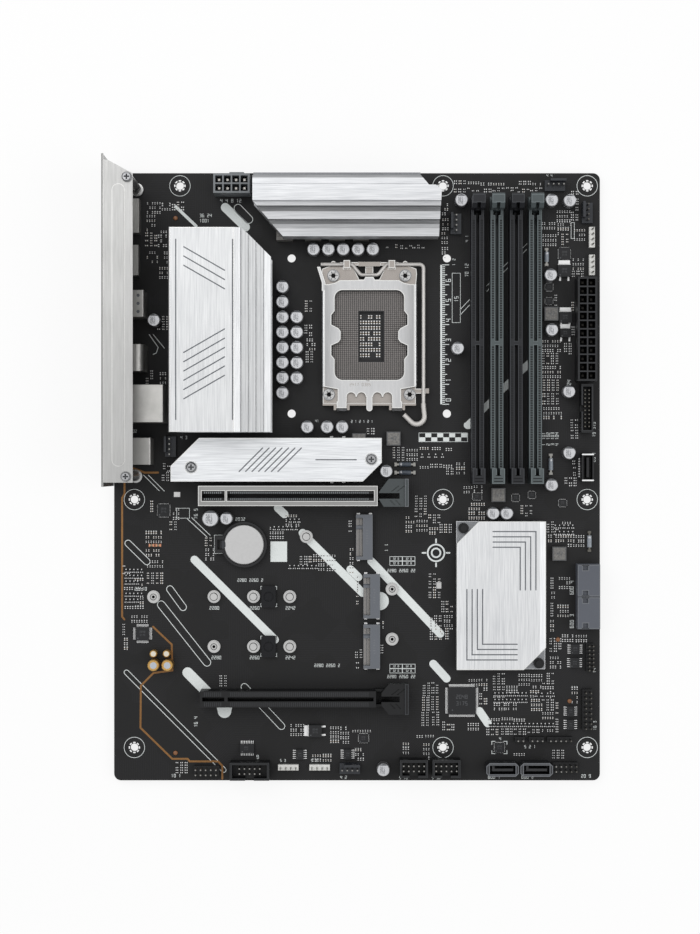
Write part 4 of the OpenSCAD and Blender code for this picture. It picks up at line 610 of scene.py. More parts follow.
class Film:
    """Flat shapes in board millimetres, gathered into one thin closed mesh."""

    def __init__(self):
        self.sheet = bmesh.new()

    def area(self, outline):
        self.sheet.faces.new([self.sheet.verts.new((x, y, 0)) for x, y in outline])

    def line(self, points, width, blunt=False):
        """A line with mitred corners; it is a loop where it ends on its first point."""
        loop = points[0] == points[-1]
        track = [Vector(p) for p in (points[:-1] if loop else points)]
        last = len(track) - 1
        rows = []
        for i, point in enumerate(track):
            ways = []
            if loop or i > 0:
                ways.append((point - track[i - 1]).normalized())
            if loop or i < last:
                ways.append((track[(i + 1) % len(track)] - point).normalized())
            along = sum(ways, Vector((0, 0))).normalized()
            side = Vector((-along.y, along.x)) * (width / 2 / max(0.5, along.dot(ways[0])))
            rows.append([self.sheet.verts.new((*(point + side * s), 0)) for s in (1, -1)])
        for i in range(len(rows) if loop else last):
            (a, b), (c, d) = rows[i], rows[(i + 1) % len(rows)]
            self.sheet.faces.new((a, b, d, c))
        if not loop and not blunt:
            for row, point, away in ((rows[0], track[0], track[0] - track[1]),
                                     (rows[-1], track[-1], track[-1] - track[-2])):
                heading = math.degrees(math.atan2(away.y, away.x))
                left = Vector(row[0].co[:2]) - point
                sweep = 90 if Vector((-away.y, away.x)).dot(left) > 0 else -90
                rim = arc(*point, width / 2, heading + sweep, heading - sweep)[1:-1]
                tips = [self.sheet.verts.new((x, y, 0)) for x, y in rim]
                self.sheet.faces.new([row[0]] + tips + [row[1]])

    def box(self, x0, x1, y0, y1, width):
        self.line([(x0, y0), (x1, y0), (x1, y1), (x0, y1), (x0, y0)], width)

    def disc(self, x, y, radius, sides=20):
        self.area(arc(x, y, radius, 0, 360, sides)[:-1])

    def ring(self, x, y, radius, width, sides=40):
        self.line(arc(x, y, radius, 0, 360, sides)[:-1] + [arc(x, y, radius, 0, 0, 1)[0]], width)

    def digits(self, text, x, y, height, turn=0, weight=0.54):
        """Plain digits from a lower left corner, turned about it in degrees."""
        unit = height / 4
        cos, sin = math.cos(math.radians(turn)), math.sin(math.radians(turn))
        for i, sign in enumerate(text):
            for stroke in DIGIT_STROKES.get(sign, []):
                spots = [((px + 3.4 * i) * unit, py * unit) for px, py in stroke]
                self.line([(x + px * cos - py * sin, y + px * sin + py * cos) for px, py in spots],
                          unit * weight, True)

    def make(self, name, level, thickness, finish_name, body="board"):
        """Raise the film to its thickness at a level above the board, as one piece on a body."""
        raised = bmesh.ops.extrude_face_region(self.sheet, geom=self.sheet.faces[:], use_keep_orig=True)
        for part in raised["geom"]:
            if isinstance(part, bmesh.types.BMVert):
                part.co.z += thickness
        bmesh.ops.recalc_face_normals(self.sheet, faces=self.sheet.faces[:])
        for vert in self.sheet.verts:
            vert.co = at(vert.co.x, vert.co.y, level + vert.co.z)
        mesh = bpy.data.meshes.new(name)
        self.sheet.to_mesh(mesh)
        self.sheet.free()
        mesh.materials.append(finishes[finish_name])
        piece = bpy.data.objects.new(name, mesh)
        bpy.context.scene.collection.objects.link(piece)
        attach(piece, body)
        print(name, "faces:", len(mesh.polygons))


# Thickness of ink and of a thin mark, and how far a film is sunk into its face.
INK, MARK, SUNK = 0.03, 0.02, -0.01

# %% [markdown]
# The broad white bars across the black lacquer give this board its look: slanting at 45 degrees, with
# round ends, and cut where a part stands on them. Thin pairs of lines and long loops run beside them.
# Screen ink is opaque and about 0.02 to 0.03 mm thick, so the film has that thickness.

# %% White bars and thin loops
bars = Film()
for width, *points in (
        (4.0, (40.3, 110.8), (80.7, 70.6)), (4.0, (82.2, 136.7), (85.5, 133.6)),
        (4.0, (94.6, 124.2), (96.3, 122.2), (124.7, 94.1)), (4.0, (129.1, 110.0), (163.7, 73.6)),
        (4.0, (160.2, 58.5), (166.9, 51.1)), (4.0, (183.4, 34.8), (187.6, 28.6)),
        (5.3, (36.9, 54.1), (49.8, 41.1)), (4.5, (55.8, 287.6), (65.9, 277.8)),
        (1.5, (31.0, 287.9), (41.1, 278.3)), (4.0, (118.6, 105.9), (122.6, 102.0))):
    bars.line(list(points), width)
bars.area(arc(133.3, 90.0, 4.6, -90, 90, 16))
bars.area([(51.4, 36.9)] + arc(55.4, 34.7, 3.4, 180, 360, 12) + [(59.3, 36.9)])
bars.area([(179.0, 176.4), (179.0, 182.1), (176.4, 179.6)] + arc(177.4, 178.3, 1.9, 140, 270, 8))
for x0, x1, y0, y1 in ((185.5, 188.2, 184.2, 191.5), (195.0, 197.9, 194.0, 201.5),
                       (204.7, 207.6, 203.5, 211.1)):
    bars.area([(x0, y0), (x1, y0 + 2.7), (x1, y1), (x0, y1 - 2.7)])
bars.make("printed_bars", SUNK, INK, "white_screen_ink")


def slot_loop(film, start, end, radius, width):
    """A long loop with round ends about two points."""
    heading = math.degrees(math.atan2(end[1] - start[1], end[0] - start[0]))
    path = (arc(*end, radius, heading - 90, heading + 90, 10)
            + arc(*start, radius, heading + 90, heading + 270, 10))
    film.line(path + path[:1], width)


LOOP_LINE = 0.32
loops = Film()
for start, end, radius in (((7.0, 119.0), (16.4, 109.8), 1.6), ((28.0, 96.0), (34.6, 86.9), 1.7),
                           ((23.6, 88.2), (46.6, 59.2), 1.9), ((6.2, 54.2), (55.0, 5.2), 1.2),
                           ((62.2, 287.2), (67.6, 281.6), 2.0), ((65.4, 46.9), (84.0, 27.2), 1.7)):
    slot_loop(loops, start, end, radius, LOOP_LINE)
for points in (((14.8, 153.2), (22.6, 145.4)), ((17.2, 153.2), (25.2, 145.2)),
               ((36.4, 131.6), (46.6, 122.2)), ((38.9, 131.9), (48.2, 123.0)),
               ((17.6, 223.8), (22.1, 217.4), (21.2, 214.6), (19.6, 213.8)), ((19.6, 223.8), (25.2, 217.0)),
               ((187.0, 248.2), (188.6, 249.8)), ((187.0, 245.4), (188.6, 247.0)),
               ((195.2, 257.6), (197.6, 260.0)), ((195.2, 254.8), (197.6, 257.2)),
               ((204.8, 267.0), (207.2, 269.4)), ((204.8, 264.2), (207.2, 266.6)),
               ((173.7, 236.3), (178.4, 241.3)), ((173.7, 233.6), (178.4, 238.6))):
    loops.line(list(points), LOOP_LINE)
loops.make("printed_loops", SUNK, INK, "white_screen_ink")

# %% [markdown]
# Each chassis hole has a printed ring that keeps parts away from the screw head, and a star of bare
# tinned pads that grounds it. The rings belong to the ink, the pads are a second film of solder.

# %% Rings and grounding stars
CHASSIS_HOLES = [(x, y) for x in (10.16, 165.10, 237.49) for y in (16.51, 140.97)] + [
    (x, 298.45) for x in (33.02, 165.10, 237.49)]
RING_RADIUS, RING_LINE = 5.15, 0.24


def star(film, x, y, outer, inner, half):
    """Eight pads round a hole, between two radii; half is half a pad's angle at its outer edge."""
    for mid in range(0, 360, 45):
        film.area(arc(x, y, outer, mid - half, mid + half, 3)
                  + arc(x, y, inner, mid + half + 2, mid - half - 2, 3))


rings, stars = Film(), Film()
for x, y in CHASSIS_HOLES:
    rings.ring(x, y, RING_RADIUS, RING_LINE)
    star(stars, x, y, 2.85, 2.2, 13)
rings.make("printed_rings", SUNK, INK, "white_screen_ink")
stars.make("grounding_stars", SUNK, 0.05, "tin_solder")

# %% [markdown]
# The audio corner is set apart by a bare copper line with a gold finish, which runs down the left edge,
# round the audio chip and its capacitors, and out at the bottom edge. It is one film of metal.

# %% Gold separation line
gold_line = Film()
gold_line.line([(5.2, 149.3), (5.2, 143.8), (4.0, 141.8), (4.0, 82.2), (5.1, 80.8)], 0.95)
gold_line.line([(19.5, 77.1), (28.9, 68.2), (29.2, 55.2), (19.7, 53.9), (13.4, 47.5), (13.2, 26.4),
                (29.2, 10.8), (36.9, 10.8), (37.9, 9.5), (52.2, 9.5), (54.3, 7.3), (54.3, 0.8)], 0.95)
gold_line.line([(9.2, 156.8), (15.4, 154.5), (22.0, 154.5)], 1.0)
gold_line.make("gold_separation_line", SUNK, 0.04, "gold_mask_opening")

# %% [markdown]
# Small printed marks tell the person who builds the computer what goes where. Here they are plain
# numbers, frames and ticks: slot lengths, pin counts and a graduated scale beside the memory slots.

# %% Printed numbers and frames
marks = Film()
for text, x, y, height, turn in (
        ("22110", 10.4, 95.4, 1.5, 0), ("2280", 48.0, 85.8, 1.5, 0), ("2260", 68.2, 85.8, 1.5, 0),
        ("2242", 86.2, 85.8, 1.5, 0), ("2280", 49.0, 60.9, 1.5, 0), ("2260", 68.2, 60.9, 1.5, 0),
        ("2242", 86.2, 60.9, 1.5, 0), ("4 4 8 12", 53.4, 290.2, 1.6, 0), ("2032", 61.0, 130.4, 1.5, 0),
        ("16 5", 41.8, 131.4, 1.6, 90), ("16 4", 41.8, 27.0, 1.6, 90), ("1 1", 135.8, 118.6, 1.6, 270),
        ("2280 2260 22", 137.2, 104.6, 1.4, 0), ("2280 2260 22", 137.2, 51.4, 1.4, 0),
        ("2280 2260 2", 62.0, 99.8, 1.4, 0), ("2280 2260 2", 100.6, 57.0, 1.4, 0),
        ("24", 229.2, 198.6, 1.7, 90), ("19 310", 241.6, 172.6, 1.5, 90), ("20 1", 241.6, 160.0, 1.5, 90),
        ("600 4", 230.6, 93.4, 1.7, 90), ("600 3", 230.6, 76.6, 1.7, 90), ("600 1", 187.8, 0.9, 1.5, 0),
        ("600 2", 204.6, 0.9, 1.5, 0), ("20 9", 234.6, 1.4, 1.5, 0), ("10 1", 28.8, 1.6, 1.5, 0),
        ("9", 71.6, 10.9, 1.7, 0), ("5 3", 83.4, 9.4, 1.2, 0), ("5 3", 99.0, 9.4, 1.2, 0),
        ("4 2", 113.6, 0.8, 1.4, 0), ("9 78", 143.2, 0.6, 1.3, 0), ("9 56", 159.6, 0.6, 1.3, 0),
        ("14", 241.8, 54.2, 1.4, 90), ("16 3", 242.0, 25.4, 1.4, 90), ("4", 193.4, 20.2, 1.4, 0),
        ("5 2 1", 206.0, 16.2, 1.4, 0), ("4 1", 177.8, 270.4, 1.4, 90), ("70 12", 177.8, 253.0, 1.6, 90),
        ("4 4", 217.2, 303.0, 1.2, 0), ("1", 216.4, 168.2, 1.5, 90), ("2", 218.6, 168.2, 1.5, 90),
        ("3", 220.8, 168.2, 1.5, 90), ("4", 223.0, 168.2, 1.5, 90), ("101", 216.4, 171.2, 1.5, 90),
        ("102", 218.6, 171.2, 1.5, 90), ("103", 220.8, 171.2, 1.5, 90), ("104", 223.0, 171.2, 1.5, 90),
        ("4 3", 33.4, 171.4, 1.4, 0), ("32", 9.4, 174.6, 1.4, 0), ("36 24", 43.0, 282.8, 1.5, 0),
        ("1001", 43.0, 280.2, 1.5, 0), ("1", 171.2, 258.6, 1.3, 90), ("2", 171.2, 261.2, 1.3, 90),
        ("15", 172.7, 240.4, 1.8, 90), ("2 1 2 1 2 1", 119.0, 179.6, 1.2, 0), ("41", 101.0, 179.8, 1.2, 0)):
    marks.digits(text, x, y, height, turn)
for x0, x1, y0, y1 in ((169.7, 173.8, 229.8, 254.6), (138.4, 144.6, 110.2, 112.3),
                       (144.8, 151.0, 110.2, 112.3), (138.4, 144.6, 107.9, 110.0),
                       (144.8, 151.0, 107.9, 110.0), (138.4, 144.6, 56.2, 58.3), (144.8, 151.1, 56.2, 58.3),
                       (138.4, 144.6, 53.9, 56.0), (144.8, 151.1, 53.9, 56.0), (31.4, 37.8, 131.6, 136.6),
                       (229.4, 231.0, 272.0, 280.0)):
    marks.box(x0, x1, y0, y1, 0.22)
for x, y in ((140.0, 110.8), (146.4, 110.8), (140.0, 108.5), (146.4, 108.5), (140.0, 56.8), (146.4, 56.8),
             (140.0, 54.5), (146.4, 54.5)):
    marks.digits("32 8", x, y, 0.95)
for x, y, wide, high in ((77.6, 92.3, 8.0, 10.2), (77.6, 67.3, 8.0, 10.2), (193.4, 16.5, 7.6, 6.2)):
    for sx, sy in ((-1, -1), (1, -1), (-1, 1), (1, 1)):
        cx, cy = x + sx * wide / 2, y + sy * high / 2
        marks.line([(cx - sx * 1.6, cy), (cx, cy), (cx, cy - sy * 1.6)], 0.3)
marks.make("printed_numbers", SUNK, INK, "white_screen_ink")

# %% [markdown]
# Beside the socket stands a graduated scale, 70 mm long, with a tick for each millimetre and longer
# ticks at each five and ten. A checked bar, a ring target and a blank label fill the other free places.

# %% Graduated scale and targets
scale = Film()
SCALE_X, SCALE_Y, SCALE_LENGTH = 164.2, 188.8, 70
TARGET_X, TARGET_Y = 161.6, 114.2
scale.line([(SCALE_X, SCALE_Y), (SCALE_X, SCALE_Y + SCALE_LENGTH)], 0.9, True)
for i in range(SCALE_LENGTH + 1):
    reach = 3.4 if i % 10 == 0 else 2.4 if i % 5 == 0 else 1.3
    scale.line([(SCALE_X + 0.55, SCALE_Y + i), (SCALE_X + 0.55 + reach, SCALE_Y + i)], 0.42, True)
for i in range(SCALE_LENGTH // 10):
    scale.digits(str(i), SCALE_X + 4.7, SCALE_Y + 10 * i + 1.6, 2.3, 90)
for i in range(8):
    row = i % 2
    scale.area([(153.2 + 3 * i, 170.2 + 2 * row), (156.2 + 3 * i, 170.2 + 2 * row),
                (156.2 + 3 * i, 172.2 + 2 * row), (153.2 + 3 * i, 172.2 + 2 * row)])
scale.box(153.0, 177.4, 170.0, 174.4, 0.22)
for radius in (2.2, 4.2):
    scale.ring(TARGET_X, TARGET_Y, radius, 0.8)
for dx, dy in ((1, 0), (0, 1), (-1, 0), (0, -1)):
    scale.line([(TARGET_X + reach * dx, TARGET_Y + reach * dy) for reach in (5.2, 6.8)], 0.8)
scale.area([(78.5, 109.7), (86.8, 109.7), (86.8, 119.9), (78.5, 119.9)])
scale.make("printed_scale", SUNK, INK, "white_screen_ink")

# %% [markdown]
# A board carries more than a thousand tiny chip parts, leads, contacts and solder joints, each one of
# a few shapes. A Geometry Nodes tree puts a copy of one shape on every point of a cloud. Every point
# keeps its own turn and size as attributes, so one tree serves all of them.

# %% Copies on points
copy_tree = bpy.data.node_groups.new("copies_on_points", "GeometryNodeTree")
inlets = {name: copy_tree.interface.new_socket(name, in_out="INPUT", socket_type=kind) for name, kind in (
    ("Points", "NodeSocketGeometry"), ("Shape", "NodeSocketObject"), ("Finish", "NodeSocketMaterial"),
    ("Enlarge", "NodeSocketFloat"))}
copy_tree.interface.new_socket("Copies", in_out="OUTPUT", socket_type="NodeSocketGeometry")
entry = add(copy_tree, "NodeGroupInput")
shape_info = add(copy_tree, "GeometryNodeObjectInfo", feeds={"Object": entry.outputs["Shape"]})
point_turn = add(copy_tree, "GeometryNodeInputNamedAttribute", {"data_type": "FLOAT_VECTOR"},
                 {"Name": "turn"})
point_size = add(copy_tree, "GeometryNodeInputNamedAttribute", {"data_type": "FLOAT_VECTOR"},
                 {"Name": "size"})
grown = add(copy_tree, "ShaderNodeVectorMath", {"operation": "SCALE"},
            {0: point_size.outputs["Attribute"], "Scale": entry.outputs["Enlarge"]})
placed = add(copy_tree, "GeometryNodeInstanceOnPoints", feeds={
    "Points": entry.outputs["Points"], "Instance": shape_info.outputs["Geometry"],
    "Rotation": point_turn.outputs["Attribute"], "Scale": grown.outputs[0]})
real = add(copy_tree, "GeometryNodeRealizeInstances", feeds={"Geometry": placed.outputs[0]})
coated = add(copy_tree, "GeometryNodeSetMaterial", feeds={"Geometry": real.outputs[0],
                                                          "Material": entry.outputs["Finish"]})
add(copy_tree, "NodeGroupOutput", feeds={0: coated.outputs[0]})
patterns = []


def pattern(name, blocks=(), posts=()):
    """A shape to copy, in millimetres: blocks as two corners, posts as (radii, heights, sides)."""
    shape = bmesh.new()
    for x0, y0, z0, x1, y1, z1 in blocks:
        corners = [shape.verts.new((x, y, z)) for z in (z0, z1)
                   for x, y in ((x0, y0), (x1, y0), (x1, y1), (x0, y1))]
        for ids in ((3, 2, 1, 0), (4, 5, 6, 7), (0, 1, 5, 4), (1, 2, 6, 5), (2, 3, 7, 6), (3, 0, 4, 7)):
            shape.faces.new([corners[i] for i in ids])
    for radii, heights, sides in posts:
        hoops = [[shape.verts.new((*p, z)) for p in arc(0, 0, r, 0, 360, sides)[:-1]]
                 for r, z in zip(radii, heights)]
        for low, high in zip(hoops, hoops[1:]):
            for i in range(sides):
                j = (i + 1) % sides
                shape.faces.new((low[i], low[j], high[j], high[i]))
        shape.faces.new(hoops[0][::-1])
        shape.faces.new(hoops[-1])
    for vert in shape.verts:
        vert.co *= MM
    mesh = bpy.data.meshes.new(name)
    shape.to_mesh(mesh)
    shape.free()
    holder = bpy.data.objects.new(name, mesh)
    bpy.context.scene.collection.objects.link(holder)
    patterns.append(holder)
    return holder


def copies(name, shape, places, finish_name, body="board", enlarge=1.0):
    """One piece on a body: the shape at every place, given as (point, turn in degrees, size)."""
    cloud = bpy.data.meshes.new(name + "_points")
    cloud.from_pydata([at(*point) for point, _, _ in places], [], [])
    turns = cloud.attributes.new("turn", "FLOAT_VECTOR", "POINT")
    sizes = cloud.attributes.new("size", "FLOAT_VECTOR", "POINT")
    for i, (_, turn, size) in enumerate(places):
        degrees = turn if isinstance(turn, tuple) else (0, 0, turn)
        turns.data[i].vector = [math.radians(t) for t in degrees]
        sizes.data[i].vector = size if isinstance(size, tuple) else (size, size, size)
    piece = bpy.data.objects.new(name, cloud)
    bpy.context.scene.collection.objects.link(piece)
    modifier = piece.modifiers.new("copies", "NODES")
    modifier.node_group = copy_tree
    modifier[inlets["Shape"].identifier] = shape
    modifier[inlets["Finish"].identifier] = finishes[finish_name]
    modifier[inlets["Enlarge"].identifier] = enlarge
    piece.data = bpy.data.meshes.new_from_object(piece.evaluated_get(bpy.context.evaluated_depsgraph_get()))
    piece.data.name = name
    piece.modifiers.clear()
    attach(piece, body)
    print(name, "copies:", len(places), "faces:", len(piece.data.polygons))


# %% [markdown]
# Small transistors in three-legged packages stand in rows where signals change their level. Their black
# bodies vanish against the lacquer, and the bright feet show as little triangles. Their places are kept,
# so that no chip part lands on one.

# %% Small transistors
TRANSISTOR_ROWS = [
    # first and last place across, place along, step
    (191.2, 206.8, 43.2, 1.95), (191.2, 206.8, 39.9, 1.95), (188.8, 206.8, 27.8, 1.95),
    (208.4, 220.4, 27.8, 2.0), (211.8, 220.6, 43.0, 2.9), (221.4, 230.8, 127.4, 2.2),
    (221.4, 230.8, 124.2, 2.2), (6.0, 13.8, 105.2, 1.95), (6.0, 13.8, 102.2, 1.95), (6.0, 11.9, 99.3, 1.95),
    (6.0, 13.8, 93.2, 1.95), (6.0, 11.9, 90.2, 1.95), (88.2, 102.6, 107.1, 2.2), (154.6, 165.4, 163.0, 3.4),
    (88.4, 92.8, 130.4, 2.2), (80.4, 91.4, 126.6, 2.2),
]
tiny_body = pattern("tiny_transistor",
                    [(-0.70, -0.45, 0.10, 0.70, 0.45, 0.80), (-0.62, -0.38, 0.80, 0.62, 0.38, 0.86)])
tiny_feet = pattern("tiny_transistor_feet", [(-0.68, -0.95, 0, -0.22, -0.40, 0.16),
                                             (0.22, -0.95, 0, 0.68, -0.40, 0.16),
                                             (-0.24, 0.40, 0, 0.24, 0.95, 0.16)])
feet_spots = []
for first, last, y, step in TRANSISTOR_ROWS:
    row = [(first + i * step, y) for i in range(int((last - first) / step + 0.01) + 1)]
    feet_spots += [((x, y, 0), 0, 1.0) for x, y in row if free_spot(x, y, 1.1)]
copies("tiny_transistors", tiny_body, feet_spots, "moulded_epoxy")
copies("tiny_transistor_legs", tiny_feet, feet_spots, "tin_solder")
standing += [Box(x - 0.5, y - 0.5, 0, x + 0.5, y + 0.5, 1) for (x, y, _), _, _ in feet_spots]

# %% [markdown]
# Chip resistors and ceramic capacitors are little blocks with a tinned cap at both ends. They stand side
# by side in lanes, and a few lanes make a group that serves one part. Each area below is split into such
# groups, and they are turned and thinned out by one seeded random series. A part that would touch a
# solid or an earlier part is dropped.

# %% Areas with small chip parts
CHIP_AREAS = [
    # left, right, bottom, top, turn, share filled
    (16.5, 24.5, 285.0, 297.0, 90, 0.30), (16.0, 27.5, 268.0, 284.0, 0, 0.22),
    (16.0, 28.8, 252.0, 267.0, 90, 0.26), (16.0, 28.8, 236.0, 251.0, 0, 0.26),
    (24.0, 35.0, 286.0, 291.0, 0, 0.55), (22.0, 28.5, 226.0, 235.0, 90, 0.5),
    (16.5, 27.0, 199.0, 206.5, 90, 0.60), (20.0, 28.0, 176.0, 186.0, 0, 0.45),
    (16.5, 22.5, 156.0, 170.0, 0, 0.50), (24.5, 28.5, 150.0, 160.0, 0, 0.5),
    (171.0, 216.0, 299.2, 302.0, 90, 0.75), (171.0, 216.0, 295.4, 298.6, 0, 0.60),
    (164.6, 168.6, 262.0, 291.0, 90, 0.60), (137.0, 163.0, 267.0, 269.6, 90, 0.70),
    (214.8, 229.8, 268.6, 286.0, 90, 0.78), (229.8, 235.0, 281.0, 296.0, 0, 0.60),
    (230.6, 237.6, 264.0, 279.0, 90, 0.62), (230.0, 237.0, 250.0, 263.0, 0, 0.60),
    (221.2, 222.8, 238.0, 262.0, 0, 0.55), (229.8, 231.6, 222.0, 250.0, 0, 0.50),
    (215.0, 224.6, 181.5, 222.5, 0, 0.82), (226.0, 230.0, 206.0, 222.0, 90, 0.55),
    (229.4, 233.0, 171.6, 181.4, 0, 0.75), (226.4, 233.2, 147.6, 152.8, 90, 0.80),
    (230.4, 233.0, 152.5, 164.0, 0, 0.55), (153.6, 170.8, 166.0, 168.4, 90, 0.75),
    (153.6, 170.8, 157.0, 159.6, 90, 0.85), (167.0, 177.0, 153.6, 160.4, 0, 0.75),
    (135.8, 144.0, 176.6, 179.0, 90, 0.85), (140.0, 152.6, 160.6, 168.0, 90, 0.70),
    (127.4, 132.0, 173.8, 177.2, 0, 0.8), (151.4, 157.8, 125.0, 149.0, 0, 0.72),
    (146.2, 150.8, 125.0, 133.0, 90, 0.75), (175.0, 186.0, 144.6, 148.0, 90, 0.65),
    (96.2, 101.4, 203.6, 241.6, 0, 0.72), (4.8, 15.4, 86.2, 107.8, 90, 0.82),
    (15.4, 23.8, 119.6, 125.6, 90, 0.75), (15.4, 23.6, 113.0, 116.4, 0, 0.75),
    (16.2, 25.4, 99.0, 110.6, 90, 0.72), (4.6, 7.2, 65.8, 79.4, 0, 0.90), (8.6, 18.0, 79.6, 84.0, 90, 0.70),
    (8.6, 17.4, 55.6, 67.2, 90, 0.60), (18.6, 21.0, 126.0, 141.0, 0, 0.70),
    (28.4, 33.6, 125.6, 136.6, 0, 0.70), (45.4, 54.4, 110.4, 122.4, 90, 0.55),
    (78.4, 93.0, 121.6, 133.2, 90, 0.85), (87.4, 111.8, 105.6, 113.4, 90, 0.85),
    (117.8, 120.8, 104.0, 132.0, 0, 0.60), (121.6, 124.8, 81.0, 103.0, 0, 0.50),
    (121.6, 124.8, 56.0, 79.0, 0, 0.50), (133.6, 136.0, 57.0, 103.0, 0, 0.40),
    (158.4, 169.8, 123.8, 133.8, 90, 0.80), (158.4, 170.4, 70.6, 105.0, 0, 0.66),
    (177.8, 186.4, 131.4, 139.4, 90, 0.60), (204.0, 216.0, 132.6, 139.0, 90, 0.45),
    (217.6, 236.2, 117.8, 131.4, 90, 0.75), (219.0, 222.0, 74.6, 103.6, 0, 0.85),
    (222.8, 229.4, 74.6, 103.6, 90, 0.66), (218.6, 225.4, 56.6, 72.0, 90, 0.80),
    (224.8, 238.0, 69.8, 73.2, 90, 0.85), (31.0, 36.6, 3.6, 9.6, 0, 0.90),
    (53.4, 58.2, 47.0, 54.0, 0, 0.90), (88.8, 96.0, 22.6, 28.8, 90, 0.70),
    (99.4, 109.4, 9.4, 14.6, 90, 0.75), (108.2, 118.6, 18.8, 27.2, 90, 0.72),
    (119.8, 129.4, 24.4, 27.4, 90, 0.85), (144.6, 148.2, 10.8, 19.2, 90, 0.90),
    (155.0, 158.6, 10.8, 19.2, 90, 0.90), (143.0, 160.6, 21.6, 24.4, 90, 0.70),
    (154.8, 164.6, 27.6, 50.0, 0, 0.78), (190.4, 221.2, 35.2, 54.2, 90, 0.86),
    (187.4, 207.4, 22.6, 33.2, 90, 0.86), (208.0, 221.2, 22.6, 34.0, 90, 0.84),
    (177.8, 188.6, 38.4, 52.4, 0, 0.60), (165.0, 184.0, 25.4, 30.6, 90, 0.66),
    (200.6, 233.6, 10.6, 15.4, 90, 0.70), (222.0, 224.8, 24.0, 40.0, 0, 0.60),
    (229.6, 233.4, 39.0, 48.0, 90, 0.30), (83.0, 90.0, 9.8, 11.8, 90, 0.70),
    (121.0, 126.0, 10.6, 18.0, 90, 0.60),
]
CELL, LANE, STEP, GROUP, HOLE_REACH, JITTER = 0.25, 2.3, 1.25, 6.5, 5.6, 0.8
chance = random.Random(7)
taken = set()


def claim(x, y, half_x, half_y):
    """Keep the quarter-millimetre cells under one part, if all of them are still free."""
    cells = {(i, j) for i in range(round((x - half_x) / CELL), round((x + half_x) / CELL) + 1)
             for j in range(round((y - half_y) / CELL), round((y + half_y) / CELL) + 1)}
    if cells & taken:
        return False
    taken.update(cells)
    return True


def group(x0, x1, y0, y1, turn, share):
    """Lanes of parts, side by side in each one, that fill a share of a small area."""
    first, last, low, high = (x0, x1, y0, y1) if turn else (y0, y1, x0, x1)
    found = []
    for j in range(int((high - low) / LANE) + 1):
        kind, size = chance.random(), chance.choice((0.7, 0.8, 0.9))
        for i in range(int((last - first) / STEP) + 1):
            x, y = first + i * STEP, low + j * LANE
            x, y = (x, y) if turn else (y, x)
            if (chance.random() < 0.5 + 0.5 * share and free_spot(x, y, 0.8)
                    and all(math.hypot(x - hx, y - hy) > HOLE_REACH for hx, hy in CHASSIS_HOLES)
                    and claim(x, y, *((0.35, 0.8) if turn else (0.8, 0.35)))):
                found.append((x, y, turn, size, kind))
    return found


chip_parts = []
for x0, x1, y0, y1, turn, share in CHIP_AREAS:
    across, up = [max(1, round(length / GROUP)) for length in (x1 - x0, y1 - y0)]
    wide, deep = (x1 - x0) / across, (y1 - y0) / up
    for i in range(across * up):
        x = x0 + i % across * wide + chance.uniform(0, JITTER)
        y = y0 + i // across * deep + chance.uniform(0, JITTER)
        way = turn if chance.random() < 0.75 else 90 - turn
        if chance.random() < 0.4 + 0.6 * share:
            chip_parts += group(x, x + wide - JITTER, y, y + deep - JITTER, way, share)
print("small chip parts:", len(chip_parts))

# %% Chip resistors and capacitors
chip_body = pattern("chip_body",
                    [(-0.36, -0.25, 0.02, 0.36, 0.25, 0.36), (-0.30, -0.20, 0.36, 0.30, 0.20, 0.40)])
chip_ends = pattern("chip_caps", [(-0.56, -0.27, 0, -0.30, 0.27, 0.41), (0.30, -0.27, 0, 0.56, 0.27, 0.41),
                                  (-0.74, -0.34, 0, -0.54, 0.34, 0.10), (0.54, -0.34, 0, 0.74, 0.34, 0.10)])
TAN_SHARE = 0.25
kinds = {"ceramic_tan": [p for p in chip_parts if p[4] < TAN_SHARE],
         "ceramic_black": [p for p in chip_parts if p[4] >= TAN_SHARE]}
for kind, parts in kinds.items():
    copies("chip_bodies_" + kind, chip_body, [((x, y, 0), turn, size) for x, y, turn, size, _ in parts],
           kind)
copies("chip_ends", chip_ends, [((x, y, 0), turn, size) for x, y, turn, size, _ in chip_parts],
       "tin_solder")

# %% [markdown]
# Between the chip parts the screen printer leaves short ticks and corner marks. They are far too small
# to read, but they lift the tone of the crowded areas, so a tick goes beside some of the runs.

# %% Printed ticks beside the chip parts
ticks = Film()
for x, y, turn, size, kind in chip_parts:
    if kind < 0.12 or kind > 0.88:
        away = 0.74 * size + 0.3
        across, along = (0, away) if turn else (away, 0)
        half_x, half_y = (0.3, 0) if turn else (0, 0.3)
        if free_spot(x + across, y + along, 0.4) and claim(x + across, y + along, half_x / 2, half_y / 2):
            ticks.line([(x + across - half_x, y + along - half_y),
                        (x + across + half_x, y + along + half_y)], 0.16, True)
ticks.make("printed_ticks", SUNK, INK, "white_screen_ink")

# %% [markdown]
# Chips stand on gull-wing leads: a shoulder out of the body, a riser and a foot on its pad. The leads
# are placed from the boxes of the chip solids. Flat square packages have them all round, small outline
# packages on two sides, and flat no-lead packages show only the ends of their pads.

# %% Leads of the chips
gull_lead = pattern("gull_lead", [(-0.10, -0.5, 0.50, 0.30, 0.5, 0.64), (0.24, -0.5, 0.06, 0.38, 0.5, 0.64),
                                  (0.30, -0.5, 0.02, 0.95, 0.5, 0.16)])
pad_end = pattern("pad_end", [(-0.12, -0.5, 0.02, 0.22, 0.5, 0.12), (-0.12, -0.5, 0.10, 0.02, 0.5, 0.30)])
chip_boxes = solids_of("chip_packages")
leads, pads = [], []
TRANSISTOR_TALL = 2


